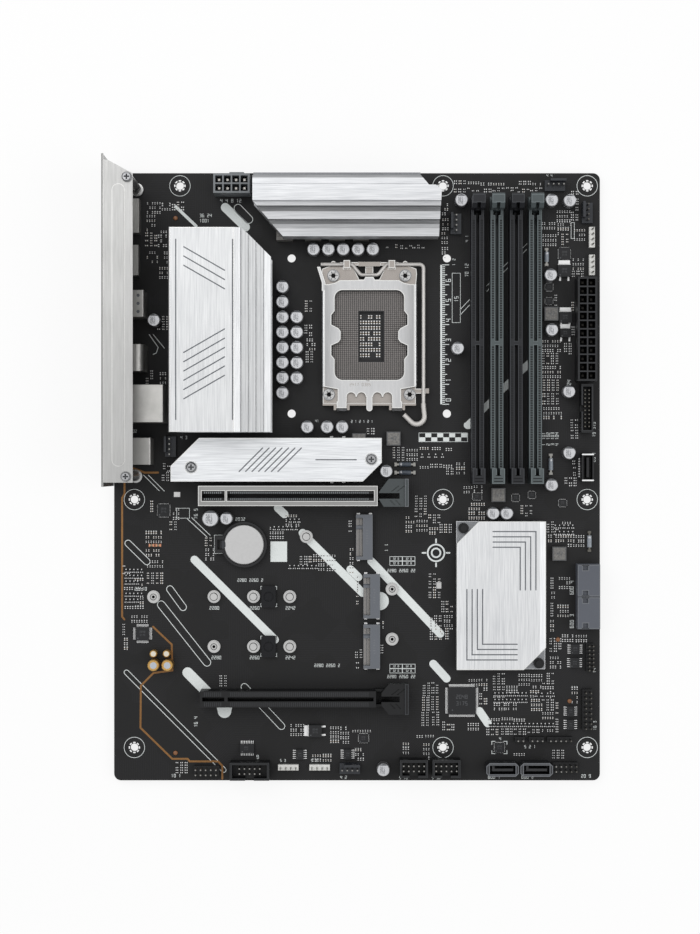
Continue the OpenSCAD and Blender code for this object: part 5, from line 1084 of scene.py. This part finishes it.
def lead_row(places, box, side, count, pitch, size):
    """Leads of a length and width, in a row along one side of a box at 0, 90, 180 or 270 degrees."""
    x, y = middle(box)
    for i in range(count):
        off = (i - (count - 1) / 2) * pitch
        point = {0: (box.x1, y + off), 180: (box.x0, y + off), 90: (x + off, box.y1),
                 270: (x + off, box.y0)}[side]
        places.append(((*point, 0), side, (*size, 1.0)))


for box in chip_boxes:
    wide, deep, tall = box.x1 - box.x0, box.y1 - box.y0, box.z1 - box.z0
    if tall > TRANSISTOR_TALL:
        continue
    if wide > 12:
        for side in (0, 90, 180, 270):
            lead_row(leads, box, side, 26, 0.5, (1.3, 0.28))
    elif 1.15 < tall < 1.3:
        for side in (0, 90, 180, 270):
            lead_row(leads, box, side, 12, 0.5, (1.4, 0.22))
    elif tall > 1.4 and wide > deep:
        for side in (90, 270):
            lead_row(leads, box, side, 8, 0.85, (1.5, 0.34))
    elif tall > 1.4:
        for side in (0, 180):
            lead_row(leads, box, side, 5, 1.0, (1.6, 0.36))
    else:
        for side in (0, 90, 180, 270):
            length = deep if side in (0, 180) else wide
            lead_row(pads, box, side, int(length / 0.7), 0.65, (1.0, 0.34))
copies("chip_leads", gull_lead, leads, "tin_solder")
copies("chip_pad_ends", pad_end, pads, "tin_solder")

# %% [markdown]
# A power transistor in this package has a broad tinned tab on one side and two stout legs on the other.
# One row of legs and one tab per package are enough, and both follow the package's box.

# %% Tabs and legs of the power transistors
tab_shape = pattern("transistor_tab",
                    [(-0.9, -0.5, 0.02, 0.25, 0.5, 0.14), (0.2, -0.46, 0.02, 0.9, 0.46, 0.22)])
leg_shape = pattern("transistor_leg", [(-0.2, -0.5, 0.7, 0.5, 0.5, 1.1), (0.4, -0.5, 0.05, 0.8, 0.5, 1.1),
                                       (0.7, -0.5, 0.02, 1.9, 0.5, 0.4)])
tabs, legs = [], []
for box in chip_boxes:
    if box.z1 - box.z0 > TRANSISTOR_TALL:
        x, y = middle(box)
        sideways = x < 150
        tab_point = (box.x0, y, 0) if sideways else (x, box.y1, 0)
        tabs.append((tab_point, 180 if sideways else 90,
                     (2.6, (box.y1 - box.y0 if sideways else box.x1 - box.x0) * 0.95, 3.0)))
        for off in (-2.1, 2.1):
            leg_point = (box.x1, y + off, 0) if sideways else (x + off, box.y0, 0)
            legs.append((leg_point, 0 if sideways else 270, (1.0, 0.9, 1.0)))
copies("transistor_tabs", tab_shape, tabs, "tin_solder")
copies("transistor_legs", leg_shape, legs, "tin_solder")

# %% [markdown]
# The tops of the chips carry a pin-one dot and a pale laser-marked number. The marking is a film on top
# of each package, at the height of its own box.

# %% Laser marks on chips and inductors


def by_level(boxes):
    """Boxes in lists, by the level of their tops."""
    levels = {}
    for box in boxes:
        levels.setdefault(round(box.z1, 2), []).append(box)
    return sorted(levels.items())


for level, boxes in by_level(chip_boxes):
    laser = Film()
    for box in boxes:
        wide, deep = box.x1 - box.x0, box.y1 - box.y0
        high = min(wide, deep) * 0.13
        laser.disc(box.x0 + 0.16 * wide, box.y0 + 0.16 * deep, min(0.35, 0.06 * wide), 12)
        for text, up in (("2048", 0.58), ("3175", 0.34)):
            laser.digits(text, box.x0 + 0.30 * wide, box.y0 + up * deep, high)
    laser.make("laser_marks_" + str(int(level * 100)), level + SUNK, MARK, "laser_mark")
inductor_marks = Film()
inductor_boxes = [box for box in solids_of("power_inductors") if box.z1 > 2]
for box in inductor_boxes:
    inductor_marks.digits("47", box.x0 + 2.2, box.y0 + 2.4, 2.0)
inductor_marks.make("inductor_marks", inductor_boxes[0].z1 + SUNK, MARK, "capacitor_ink")

# %% [markdown]
# Each aluminium can has a dark printed segment on its top, on the side of the negative lead, and three
# rows of plain numbers. The audio cans have a pale disc inside a gold rim. The tops stand at different
# heights, so there is a film for each height.

# %% Marks on the capacitor tops
CAN_EDGE = 0.35
for level, boxes in by_level(solids_of("polymer_capacitors")):
    tops = Film()
    for box in boxes:
        x, y = middle(box)
        radius = (box.x1 - box.x0) / 2 - CAN_EDGE
        tops.area(arc(x, y, radius, 48, 132, 10))
        for row, text in enumerate(("561", "063", "470")):
            tops.digits(text, x - 0.56 * radius, y + (0.18 - 0.44 * row) * radius, radius * 0.36,
                        weight=0.62)
    tops.make("polymer_capacitors_marks_" + str(int(level * 10)), level + SUNK, MARK, "capacitor_ink")
for level, boxes in by_level(solids_of("audio_capacitors")):
    tops = Film()
    for box in boxes:
        radius = (box.x1 - box.x0) / 2 - CAN_EDGE
        broad = radius > 2.2
        tops.disc(*middle(box), radius * (0.66 if broad else 0.86))
    tops.make("audio_capacitors_marks_" + str(int(level * 10)), level + SUNK, MARK,
              "pale_blue_sleeve" if broad else "cream_sleeve")

# %% [markdown]
# The socket's floor is a field of sprung contacts, one for each pad of the processor, on a one
# millimetre grid around an open middle. Each contact is a small carrier with a raised leaf. The leaves
# of the lower left field point the other way, as on the real socket, which shifts its tone a little.

# %% Socket contacts
SOCKET = middle(board_box(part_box("cpu_socket_body")))
SEAT = 2.8
contact_leaf = pattern("contact_leaf", [(-0.37, -0.37, -0.05, 0.37, 0.37, 0.10),
                                        (-0.10, -0.17, 0.08, 0.12, 0.17, 0.26),
                                        (0.05, -0.17, 0.22, 0.40, 0.17, 0.40)])
field = []
for i in range(-18, 19):
    for j in range(-22, 23):
        dx, dy = i * 1.0, j * 0.985
        if not (abs(dx - 1.0) < 6.6 and abs(dy + 0.5) < 12.9):
            field.append(((SOCKET[0] + dx, SOCKET[1] + dy, SEAT),
                          180 if dx < -5.6 and dy < 12.4 or dy < -13.4 else 0, 1.0))
copies("socket_contacts", contact_leaf, field, "contact_alloy")
cavity = [((SOCKET[0] - 4.3 + 1.35 * i, SOCKET[1] - 9.8 + 2.75 * j, 0.8), 90, 1.15)
          for i in range(8) for j in range(8)
          if chance.random() < 0.86]
copies("socket_chip_bodies", chip_body, cavity, "ceramic_tan")
copies("socket_chip_ends", chip_ends, cavity, "tin_solder")

# %% [markdown]
# The rails of the memory and card slots are pierced by a row of small windows, and a contact tip shows
# in each one. On the memory slots a window is a thin sheet of painted shade, a dark well, with a thin tip
# in it.
# Real windows are 0.85 mm apart; these are 1.21 mm apart, as a photo with two pixels per millimetre shows
# them.
# The card slots have combs: faint ribs on the plain slot, and steel tips inside the armoured one.

# %% Contacts of the memory and card slots
well = pattern("contact_well",
               [(-0.55, -0.37, -0.01, 0.55, 0.37, 0.02), (-0.45, -0.28, 0.015, 0.45, 0.28, 0.03)])
tip = pattern("contact_tip", [(-0.30, -0.05, 0.02, 0.30, 0.05, 0.05),
                              (0.10, -0.05, 0.04, 0.34, 0.05, 0.09)])
rib = pattern("contact_rib", [(-0.5, -0.5, -0.02, 0.5, 0.5, 0.05), (-0.42, -0.40, 0.05, 0.42, 0.40, 0.08)])
MEMORY_TOP, MEMORY_STEP = 8.5, 1.21
memory_wells = []
for n in range(1, 5):
    slot = board_box(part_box("dimm_slot_%d" % n))
    x, key = middle(slot)[0], slot.y0 + 70
    for i in range(146):
        y = slot.y0 + 8.6 + i * MEMORY_STEP
        if y < slot.y1 - 12.5 and abs(y - key) > 2:
            memory_wells += [((x + side * 2.0, y, MEMORY_TOP), 0 if side > 0 else 180, 1.0)
                             for side in (-1, 1)]
# Painted shade: each well is a thin dark sheet on the rail.
copies("memory_wells", well, memory_wells, "slot_shadow")
copies("memory_tips", tip, memory_wells, "comb_rib")

for n, off, size, finish_name in ((1, 1.62, (0.95, 0.48, 1.0), "steel_tip"),
                                  (2, 2.5, (2.1, 0.45, 1.0), "faint_rim")):
    slot = board_box(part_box("pcie_slot_%d" % n))
    y = middle(slot)[1]
    spots = [(slot.x0 + 2.4 + i, y + side * off, slot.z1) for i in range(82) for side in (-1, 1)
             if abs(i - 10.6) > 1.6]
    copies("card_slot_comb_%d" % n, rib, [(spot, 90, size) for spot in spots], finish_name)

# %% [markdown]
# The drive sockets show two rows of sprung contacts in their open mouth. Their pitch is half a
# millimetre, and both rows skip the key that keeps the wrong card out.

# %% Contacts of the drive sockets
strip = pattern("contact_strip", [(0, -0.14, 0, 1.35, 0.14, 0.10), (1.1, -0.14, 0.08, 1.45, 0.14, 0.28)])
MOUTH, DRIVE_STEP, KEY_SHARE = 1.5, 0.5, 0.72
drive_boxes = solids_of("m2_sockets")
drive_tips = []
for box in drive_boxes:
    key = box.y0 + (box.y1 - box.y0) * KEY_SHARE
    for i in range(40):
        y = box.y0 + 1.9 + DRIVE_STEP * i
        if y < box.y1 - 1.8 and abs(y - key) > 1.0:
            drive_tips += [((box.x0 + reach, y, MOUTH), 0, 1.0) for reach in (0.1, 1.75)]
copies("drive_socket_tips", strip, drive_tips, "spring_alloy")
tables = Film()
for box in drive_boxes:
    for i in range(6):
        y = (box.y0 + box.y1) / 2 - 3.2 + 1.3 * i
        tables.line([(box.x0 + 5.0, y), (box.x0 + 5.9, y)], 0.5, True)
tables.make("drive_socket_marks", drive_boxes[0].z1 + SUNK, MARK, "grey_mark_and_edge_highlight")
tabs = [((x, y, 0), turn, (3.4, 1.6, 1.0)) for box in drive_boxes for x in (box.x0 + 1.2, box.x1 - 1.0)
        for y, turn in ((box.y0, 270), (box.y1, 90))]
copies("drive_socket_tabs", pad_end, tabs, "tin_solder")

# %% [markdown]
# The heat sinks are brushed first and then engraved, so the lines are darker than the face. The design is
# a plain one: rows of slanting grooves, straight borders and nested corners.

# %% Engraved lines on the heat sinks
GROOVE = 0.6
sink = board_box(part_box("vrm_heatsink_left"))
engraved = Film()
for x in (sink.x0 + 3.6, sink.x0 + 31.2):
    engraved.line([(x, sink.y0 + 6), (x, sink.y1 - 6)], GROOVE)
for i in range(6):
    y = sink.y0 + 16 + 4.5 * i
    engraved.line([(sink.x0 + 7.5, y), (sink.x0 + 27.3, y + 11.4)], GROOVE)
for i in range(3):
    y = sink.y1 - 30 + 4.5 * i
    engraved.line([(sink.x0 + 7.5, y + 11.4), (sink.x0 + 27.3, y)], GROOVE)
engraved.make("engraved_lines_left", sink.z1 + SUNK, MARK, "engraving_and_painted_shade")

drive = board_box(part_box("m2_heatsink"))
engraved = Film()
for i in range(7):
    x = drive.x0 + 34 + 3.2 * i
    engraved.line([(x, drive.y0 + 5), (x + 11.6, drive.y1 - 5)], GROOVE)
engraved.line([(drive.x0 + 72, drive.y0 + 10.8), (drive.x0 + 92, drive.y0 + 10.8)], GROOVE)
engraved.make("engraved_lines_drive", drive.z1 + SUNK, MARK, "engraving_and_painted_shade")

chip_sink = board_box(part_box("chipset_heatsink"))
engraved = Film()
for i in range(4):
    inset = 5.0 + 2.6 * i
    engraved.line([(chip_sink.x0 + 30, chip_sink.y0 + inset), (chip_sink.x0 + inset, chip_sink.y0 + inset),
                   (chip_sink.x0 + inset, chip_sink.y0 + 40)], GROOVE)
    engraved.line([(chip_sink.x0 + 18, chip_sink.y1 - inset), (chip_sink.x1 - inset, chip_sink.y1 - inset),
                   (chip_sink.x1 - inset, chip_sink.y1 - 34)], GROOVE)
engraved.make("engraved_lines_chipset", chip_sink.z1 + SUNK, MARK, "engraving_and_painted_shade")

# %% [markdown]
# Some faces of the sinks lie lower, and a film of painted shade makes them darker than the brushed tops:
# two corners of the chipset sink round its push pins, and the ledge along the rear of the top sink.

# %% Painted shade on the low ledges of the sinks
LEDGE, LEDGE_DROP, REAR_DROP, INSET = 11.0, 4.0, 8, 0.15
# Painted shade: a grey film on the low corners of the chipset sink and on the rear ledge of the top sink.
corners = Film()
for x, y, side in ((chip_sink.x0, chip_sink.y1, 1), (chip_sink.x1, chip_sink.y0, -1)):
    x, y = x + side * INSET, y - side * INSET
    corners.area([(x, y), (x + side * (LEDGE - 2 * INSET), y), (x, y - side * (LEDGE - 2 * INSET))])
corners.make("cast_corners_chipset", chip_sink.z1 - LEDGE_DROP + SUNK, MARK, "ledge_shade")
rear = Film()
rear.area([(70.9, 299.4), (153.0, 299.4), (153.0, 301.9), (70.9, 301.9)])
top_sink = board_box(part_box("vrm_heatsink_top"))
rear.make("cast_ledge_top", top_sink.z1 - REAR_DROP + SUNK, MARK, "ledge_shade")

# %% [markdown]
# A recess looks darker than the head round it, because little light reaches its floor. A film of painted
# shade on
# each floor gives that: crosses in the pan heads and hexagons in the socket screws, whose polished heads
# also carry a few painted dark reflections and a painted dark ring inside the rim.

# %% Painted shade in the screw recesses
CROSS_LENGTH, CROSS_WIDTH, CROSS_DEPTH = 0.52, 0.145, 0.6
for node_name, head_high in (("io_shield_screws", 1.7), ("m2_heatsink_screws", 1.6)):
    crosses = Film()
    for box in solids_of(node_name):
        x, y = middle(box)
        half, wide = (box.x1 - box.x0) * CROSS_LENGTH / 2, (box.x1 - box.x0) * CROSS_WIDTH
        crosses.line([(x - half, y), (x + half, y)], wide, True)
        crosses.line([(x, y - half), (x, y - wide / 2)], wide, True)
        crosses.line([(x, y + wide / 2), (x, y + half)], wide, True)
    # Painted shade: each cross is a dark film on the floor of its recess.
    crosses.make(node_name + "_recess", box.z1 - CROSS_DEPTH * head_high + SUNK, MARK, "laser_mark")
HEX_RADIUS, HEX_FLOOR = 1.25, 2.1
hexes, painted_reflections = Film(), Film()
for box in solids_of("socket_screws"):
    x, y = middle(box)
    radius = (box.x1 - box.x0) / 2
    # Painted shade: a dark hexagon on the floor of the recess.
    hexes.area(arc(x, y, HEX_RADIUS, 0, 360, 6)[:-1])
    # Painted reflections: a dark ring inside the rim, six dark spokes and two dark arcs on each polished
    # head.
    painted_reflections.ring(x, y, radius - 0.2, 0.3)
    for i in range(6):
        painted_reflections.line([arc(x, y, r, 60 * i, 60 * i, 1)[0] for r in (1.55, 2.0)], 0.4)
    painted_reflections.line(arc(x, y, 2.35, 200, 290), 0.22)
    painted_reflections.line(arc(x, y, 2.35, 30, 90), 0.22)
hexes.make("socket_screws_recess", HEX_FLOOR + SUNK, MARK, "slot_shadow")
painted_reflections.make("socket_screws_glints", box.z1 + SUNK, MARK, "engraving_and_painted_shade")

# %% [markdown]
# A port shell is dimpled where its springs are pressed in, and an open stand-off is a tapped bore: a dark
# floor with three thin rings above it, which read as a thread. Films of painted shade darken the dimples
# and the floors of the bores, and films of metal make the rings.

# %% Dimples, bores and threads
dimples = Film()
stack = min(solids_of("usb_stacks"), key=lambda box: box.x1)
for dy in (-4, 0, 4):
    dimples.disc(stack.x1 - 2.8, middle(stack)[1] + dy, 0.8, 14)
# Painted shade on the floors of the dimples.
dimples.make("port_dimples", stack.z1 - 0.3 + SUNK, MARK, "engraving_and_painted_shade")
OPEN_STANDOFFS = ((19.9, 92.2), (50.2, 67.3), (139.5, 96.1), (139.5, 71.0))
bores = Film()
for x, y in OPEN_STANDOFFS:
    bores.disc(x, y, 1.2)
# Painted shade on the floors of the bores.
bores.make("standoff_bores", 0.8 + SUNK, MARK, "slot_shadow")
for turn, level in enumerate((1.2, 1.55, 1.9)):
    threads = Film()
    for x, y in OPEN_STANDOFFS:
        threads.ring(x, y, 1.02, 0.5, 24)
    threads.make("standoff_thread_%d" % turn, level, 0.15, "nickel_plated_steel")

# %% [markdown]
# Edges wear and catch the light, so most mouldings and pressings read by a fine pale line along their rims.
# Here that line is painted: it stands mostly for the highlight on the edge. The next function finds the
# flat faces of a node at a level, walks along their outlines and lays a line just inside each one. The face
# always lies on the left of the walk.

# %% Outlines of flat faces


def outlines(node_name, level):
    """Closed outlines, as board points, of the flat faces of a node at a level."""
    shape = bmesh.new()
    shape.from_mesh(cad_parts[node_name].data)
    bmesh.ops.remove_doubles(shape, verts=shape.verts[:], dist=1e-6)
    flat = {face for face in shape.faces if face.normal.z > 0.999
            and abs(on_board(face.calc_center_median())[2] - level) < 0.02}
    onward = {corner.vert: corner.link_loop_next.vert for face in flat for corner in face.loops
              if not any(other in flat for other in corner.edge.link_faces if other is not face)}
    found = []
    while onward:
        vert = next(iter(onward))
        walk = []
        while vert in onward:
            point = Vector(on_board(vert.co)[:2])
            if not walk or (point - walk[-1]).length > 0.05:
                walk.append(point)
            vert = onward.pop(vert)
        found.append(walk)
    shape.free()
    return [walk for walk in found if len(walk) > 2]


def rim(node_name, level, width, finish_name, body="board"):
    """A fine line of painted highlight along the edges of a node's flat faces at a level."""
    lines = Film()
    for walk in outlines(node_name, level):
        inside = []
        for i, point in enumerate(walk):
            before, after = point - walk[i - 1], walk[(i + 1) % len(walk)] - point
            sides = [Vector((-way.y, way.x)).normalized() for way in (before, after)]
            step_in = (sides[0] + sides[1]) * (width / 2 + 0.05) / max(0.4, 1 + sides[0].dot(sides[1]))
            inside.append(tuple(point + step_in))
        lines.line(inside + inside[:1], width)
    lines.make("%s_rim_%d" % (node_name, level * 10), level + SUNK, MARK, finish_name, body)


def top_of(node_name):
    """The level of a node's highest face."""
    return board_box(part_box(node_name)).z1


print("outlines of the load plate:", len(outlines("socket_load_plate", top_of("socket_load_plate"))))

# %% [markdown]
# The painted highlight along the edges is pale on grey nylon and bare metal, faint on black mouldings, and
# a dark line on the inductor tops. The short dark lines at the ends of the memory slots are painted shade
# where the slots have grooves. The rims of the moving pieces ride on their own bodies, so that they swing
# with them.

# %% Painted highlights on the rims of mouldings and pressings
for node_name, width, finish_name in (
        ("fan_headers", 0.25, "comb_rib"), ("usb3_header", 0.3, "faint_rim"),
        ("atx_power_connector", 0.25, "faint_rim"), ("pin_headers", 0.25, "faint_rim"),
        ("m2_sockets", 0.25, "grey_mark_and_edge_highlight"), ("pcie_slot_1_armour", 0.25, "bright_edge_highlight"),
        ("chipset_heatsink", 0.3, "bright_edge_highlight"), ("m2_heatsink", 0.3, "bright_edge_highlight"),
        ("vrm_heatsink_left", 0.3, "bright_edge_highlight"), ("power_inductors", 0.4, "laser_mark")):
    rim(node_name, top_of(node_name), width, finish_name)
for level in sorted({box.z1 for box in solids_of("sata_ports")}):
    rim("sata_ports", level, 0.4, "grey_mark_and_edge_highlight")
for n in range(1, 5):
    pale = n % 2 == 0
    edge = "slate_edge_highlight" if pale else "comb_rib"
    rim("dimm_slot_%d" % n, MEMORY_TOP, 0.22, edge)
    rim("dimm_slot_%d" % n, top_of("dimm_slot_%d" % n), 0.3, edge)
    rim("dimm_latch_%d" % n, top_of("dimm_latch_%d" % n), 0.3, edge, "memory_latch_%d" % n)
    slot = board_box(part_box("dimm_slot_%d" % n))
    # Painted shade: three short dark lines across the end of the slot stand for the shade in its grooves.
    grooves = Film()
    for off, half in ((1.2, 2.2), (2.6, 2.2), (4.0, 1.3)):
        grooves.line([(middle(slot)[0] + side * half, slot.y0 + off) for side in (-1, 1)], 0.4, True)
    grooves.make("dimm_slot_%d_grooves" % n, slot.z1 + SUNK, MARK, "slot_shadow")
rim("pcie_latch_1", top_of("pcie_latch_1"), 0.3, "grey_mark_and_edge_highlight", "card_latch_1")
rim("pcie_latch_2", top_of("pcie_latch_2"), 0.3, "comb_rib", "card_latch_2")
rim("socket_load_plate", top_of("socket_load_plate"), 0.35, "bright_edge_highlight", "load_plate")
for level in (1.2, top_of("socket_frame")):
    rim("socket_frame", level, 0.3, "bright_edge_highlight")
stamp = Film()
stamp.digits("2417 0385", 118.4, 197.7, 1.4)
stamp.digits("48", 126.4, 200.0, 1.1)
stamp.make("load_plate_stamp", top_of("socket_load_plate") + SUNK, MARK, "warm_nickel_plate", "load_plate")

# %% [markdown]
# The header for the front port, at the right edge, has a bright metal cap at each end and rows of pads
# beside it. The caps are a film on its top, and the pads are copies along both sides.

# %% Header for the front port
card = board_box(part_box("usb_c_header"))
caps = Film()
for y, side in ((card.y0, 1), (card.y1, -1)):
    caps.line([(card.x0 + 0.3, y + side * 0.45), (card.x1 - 0.3, y + side * 0.45)], 0.7)
caps.make("card_connector_caps", card.z1 + SUNK, MARK, "tin_solder")
card_pads = [((x, card.y0 + 2.4 + 1.25 * i, 0), turn, (3.0, 0.6, 1.0)) for i in range(8)
             for x, turn in ((card.x0, 180), (card.x1, 0))]
copies("card_connector_pads", pad_end, card_pads, "tin_solder")

# %% [markdown]
# The flange of the shield is stiffened by a long raised bead. Its rim catches the light, and a thin outline
# of painted highlight shows it.

# %% Painted highlight round the shield bead
shield = board_box(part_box("io_shield"))
BEAD_X, BEAD_HALF, BEAD_MARGIN, BEAD_RISE = 7.3, 2.8, 12.5, 0.4
BEAD_MIDDLE, BEAD_LINE = 0.485, 0.35
bead_mid = shield.y0 + BEAD_MIDDLE * (shield.y1 - shield.y0)
bead_reach = (shield.y1 - shield.y0) / 2 - BEAD_MARGIN - BEAD_HALF
bead_line = Film()
slot_loop(bead_line, (BEAD_X, bead_mid - bead_reach), (BEAD_X, bead_mid + bead_reach),
          BEAD_HALF + 0.2, BEAD_LINE)
bead_line.make("shield_bead_outline", shield.z1 - BEAD_RISE + SUNK, MARK, "bead_edge_highlight")

# %% [markdown]
# A few larger small parts stand among the chips: quartz crystals in metal cans with a rolled flange,
# ferrite beads with copper ends, and amber indicator lamps with a domed lens.

# %% Crystals, beads and lamps
crystal = pattern("crystal_can", [(-1.6, -1.25, 0, 1.6, 1.25, 0.25), (-1.4, -1.05, 0.25, 1.4, 1.05, 0.80),
                                  (-1.2, -0.85, 0.80, 1.2, 0.85, 0.88)])
copies("crystals", crystal, [((31.6, 143.5, 0), 0, 1.0), ((163.0, 97.9, 0), 90, 1.0)],
       "nickel_plated_steel")
beads = [((18.8, 118.0, 0), 0, (1.9, 2.2, 2.0)), ((22.2, 118.0, 0), 0, (1.9, 2.2, 2.0))]
copies("bead_bodies", chip_body, beads, "ceramic_tan")
copies("bead_ends", chip_ends, beads, "copper_end")
lamp = pattern("lamp_lens", posts=[((1.15, 1.15, 0.95, 0.45), (0, 0.35, 0.65, 0.80), 14)])
copies("amber_lamps", lamp, [((30.8, 282.2, 0), 0, 1.0), ((30.8, 13.8, 0), 0, 1.0),
                             ((222.7, 70.7, 0), 0, 1.0), ((228.65, 39.8, 0), 0, 1.0)], "amber_lens")

# %% [markdown]
# A diode here is a small glass barrel between two tinned ends, with a pale band near the end where the
# current leaves. The barrel is CAD, and its ends, wires and band are copies placed from its box.

# %% Ends and bands of the diodes
diode_end = pattern("diode_end",
                    [(-0.62, -0.95, 0, 0.58, 0.95, 0.25), (-0.54, -0.84, 0.20, 0.54, 0.84, 1.70)])
diode_wire = pattern("diode_wire",
                     [(-0.75, -0.46, 0.7, 0.75, 0.46, 1.6), (-0.75, -0.30, 1.6, 0.75, 0.30, 1.66)])
diode_band = pattern("diode_band", posts=[((1.02, 1.02), (-0.35, 0.35), 16)])
ends, wires, stripes = [], [], []
for box in solids_of("diodes"):
    x, y = middle(box)
    flat = box.x1 - box.x0 > box.y1 - box.y0
    reach = (box.x1 - box.x0 if flat else box.y1 - box.y0) / 2 - 0.6
    across = (box.y1 - box.y0 if flat else box.x1 - box.x0) / 2
    for side in (-1, 1):
        for places, off in ((ends, reach), (wires, reach - 1.0)):
            places.append(((x + side * off * flat, y + side * off * (not flat), 0.02), 0 if flat else 90,
                           1.0))
    shift = 0.42 * reach
    stripes.append(((x - shift * flat, y + shift * (not flat), across), (0, 90, 0) if flat else (90, 0, 0),
                    across))
copies("diode_ends", diode_end, ends, "tin_plated_pin")
copies("diode_wires", diode_wire, wires, "tin_plated_pin")
copies("diode_bands", diode_band, stripes, "drawn_aluminium_can")

# %% [markdown]
# The coin cell is held down by a sprung nylon latch that stands in the holder's gap and bends over its
# edge. It is one bent strip with a nose, made as a short run of blocks. A printed bracket marks its side
# of the holder.

# %% Battery latch
cell = board_box(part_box("coin_cell"))
clip = pattern("battery_latch_shape", [(0.6, -2.0, 0, 1.0, 2.0, 3.4), (-0.4, -2.0, 3.25, 1.0, 2.0, 3.55),
                                       (-0.8, -1.2, 3.22, -0.4, 1.2, 3.45), (0.6, -2.0, 0, 2.2, 2.0, 0.3)])
copies("battery_latch", clip, [((cell.x0, middle(cell)[1], cell.z1 - 3.2), 180, 1.0)],
       "blue_black_lcp_moulded")
bracket = Film()
bracket.line([(54.4, 113.9), (50.3, 113.9), (50.3, 123.1), (54.4, 123.1)], 0.26, True)
bracket.make("printed_bracket", SUNK, INK, "white_screen_ink")

# %% [markdown]
# The tongues of the rear ports carry gilt strips. They show only from behind, at an angle, but a port
# without them looks blank. Their places follow the boxes of the tongues.

# %% Contacts of the rear ports
port_strip = pattern("port_strip", [(0, -0.5, -0.06, 5.5, 0.5, 0.0), (0, -0.5, -0.12, 1.0, 0.5, -0.04)])
port_places = []
for box in solids_of("rear_port_tongues"):
    wide = box.y1 - box.y0
    count, thick = (4, 1.0) if box.z1 - box.z0 > 1.6 else (8, 0.6)
    for i in range(count):
        y = box.y0 + wide * (i + 0.5) / count
        port_places.append(((box.x0 + 0.2, y, box.z0), 0, (1.0, thick * wide / count / 1.8, 1.0)))
copies("rear_port_contacts", port_strip, port_places, "gold_flash_contact")

# %% [markdown]
# Underneath, every through-hole pin ends in a small cone of solder with the cut pin in its tip. The
# places follow the pins and slots above. A cone that would touch the socket's back plate is dropped.

# %% Solder joints under the board
joint = pattern("solder_joint", posts=[((0.75, 0.62, 0.34, 0.28), (0.0, 0.18, 0.60, 1.05), 8)])
BELOW = on_board(board_low)[2]
plate = board_box(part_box("socket_backplate"))
joints = [middle(box) for name in ("power_pins", "header_pins") for box in solids_of(name)]
for n in range(1, 5):
    slot = board_box(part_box("dimm_slot_%d" % n))
    x = middle(slot)[0]
    joints += [(x + (1.9 if i % 2 else -1.9), slot.y0 + 9 + 1.7 * i) for i in range(70)]
    joints += [(x + (0.8 if i % 2 else -0.8), slot.y0 + 9.8 + 1.7 * i) for i in range(70)]
for n in (1, 2):
    slot = board_box(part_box("pcie_slot_%d" % n))
    y = middle(slot)[1]
    joints += [(slot.x0 + 3 + 2 * i + (1 if row in (-1, 2) else 0), y + 1.6 * row)
               for i in range(41) for row in (-2, -1, 1, 2)]
for box in solids_of("polymer_capacitors") + solids_of("audio_capacitors"):
    x, y = middle(box)
    joints += [(x - 1.2, y), (x + 1.2, y)]
for node_name in ("usb_stacks", "lan_usb_stack", "video_ports"):
    for box in solids_of(node_name):
        x, y = box.x1 - 4.5, (box.y0 + box.y1) / 2
        joints += [(x + 2.2 * row, y - 4 + 2 * i) for i in range(5) for row in (0, 1)]
        joints += [(box.x1 - 10, y + side * (box.y1 - box.y0) * 0.44) for side in (-1, 1)]
places = [((x, y, BELOW + 0.02), (180, 0, 0), 1.0) for x, y in joints
          if not (plate.x0 - 1 < x < plate.x1 + 1 and plate.y0 - 1 < y < plate.y1 + 1)]
copies("solder_joints", joint, places, "tin_solder")

# %% [markdown]
# The underside also carries chip parts: behind the socket, in the window of the back plate, behind the
# voltage regulator and behind the chipset. Grounding pads stand round the chassis holes.

# %% Chip parts and pads under the board
under = []
for x, y, dx, dy, across, along, turn, share in (
        (SOCKET[0] - 14, SOCKET[1] - 18, 1.9, 1.7, 15, 22, 0, 0.7),
        (34, 182, 2.2, 2.6, 12, 30, 90, 0.35), (180, 62, 2.4, 2.4, 11, 22, 0, 0.45)):
    under += [((x + dx * i, y + dy * j, BELOW), (180, 0, turn), 1.1) for i in range(across)
              for j in range(along) if chance.random() < share]
copies("under_chip_bodies", chip_body, under, "ceramic_tan")
copies("under_chip_ends", chip_ends, under, "tin_solder")
under_pads = Film()
for x, y in CHASSIS_HOLES:
    star(under_pads, x, y, 4.0, 2.4, 14)
under_pads.make("under_grounding_pads", BELOW - 0.03, 0.05, "tin_solder")

# %% [markdown]
# The shapes that were only copied are not pieces of the board, so they go now.

# %% Remove the copied shapes
for holder in patterns:
    bpy.data.objects.remove(holder)
print("copied shapes removed:", len(patterns))
patterns.clear()

# %% [markdown]
# The added pieces lie within the outline of the solids, so the box of the whole scene should be the box of
# the solids alone.

# %% Count the finishes
print("finishes:", len(finishes))
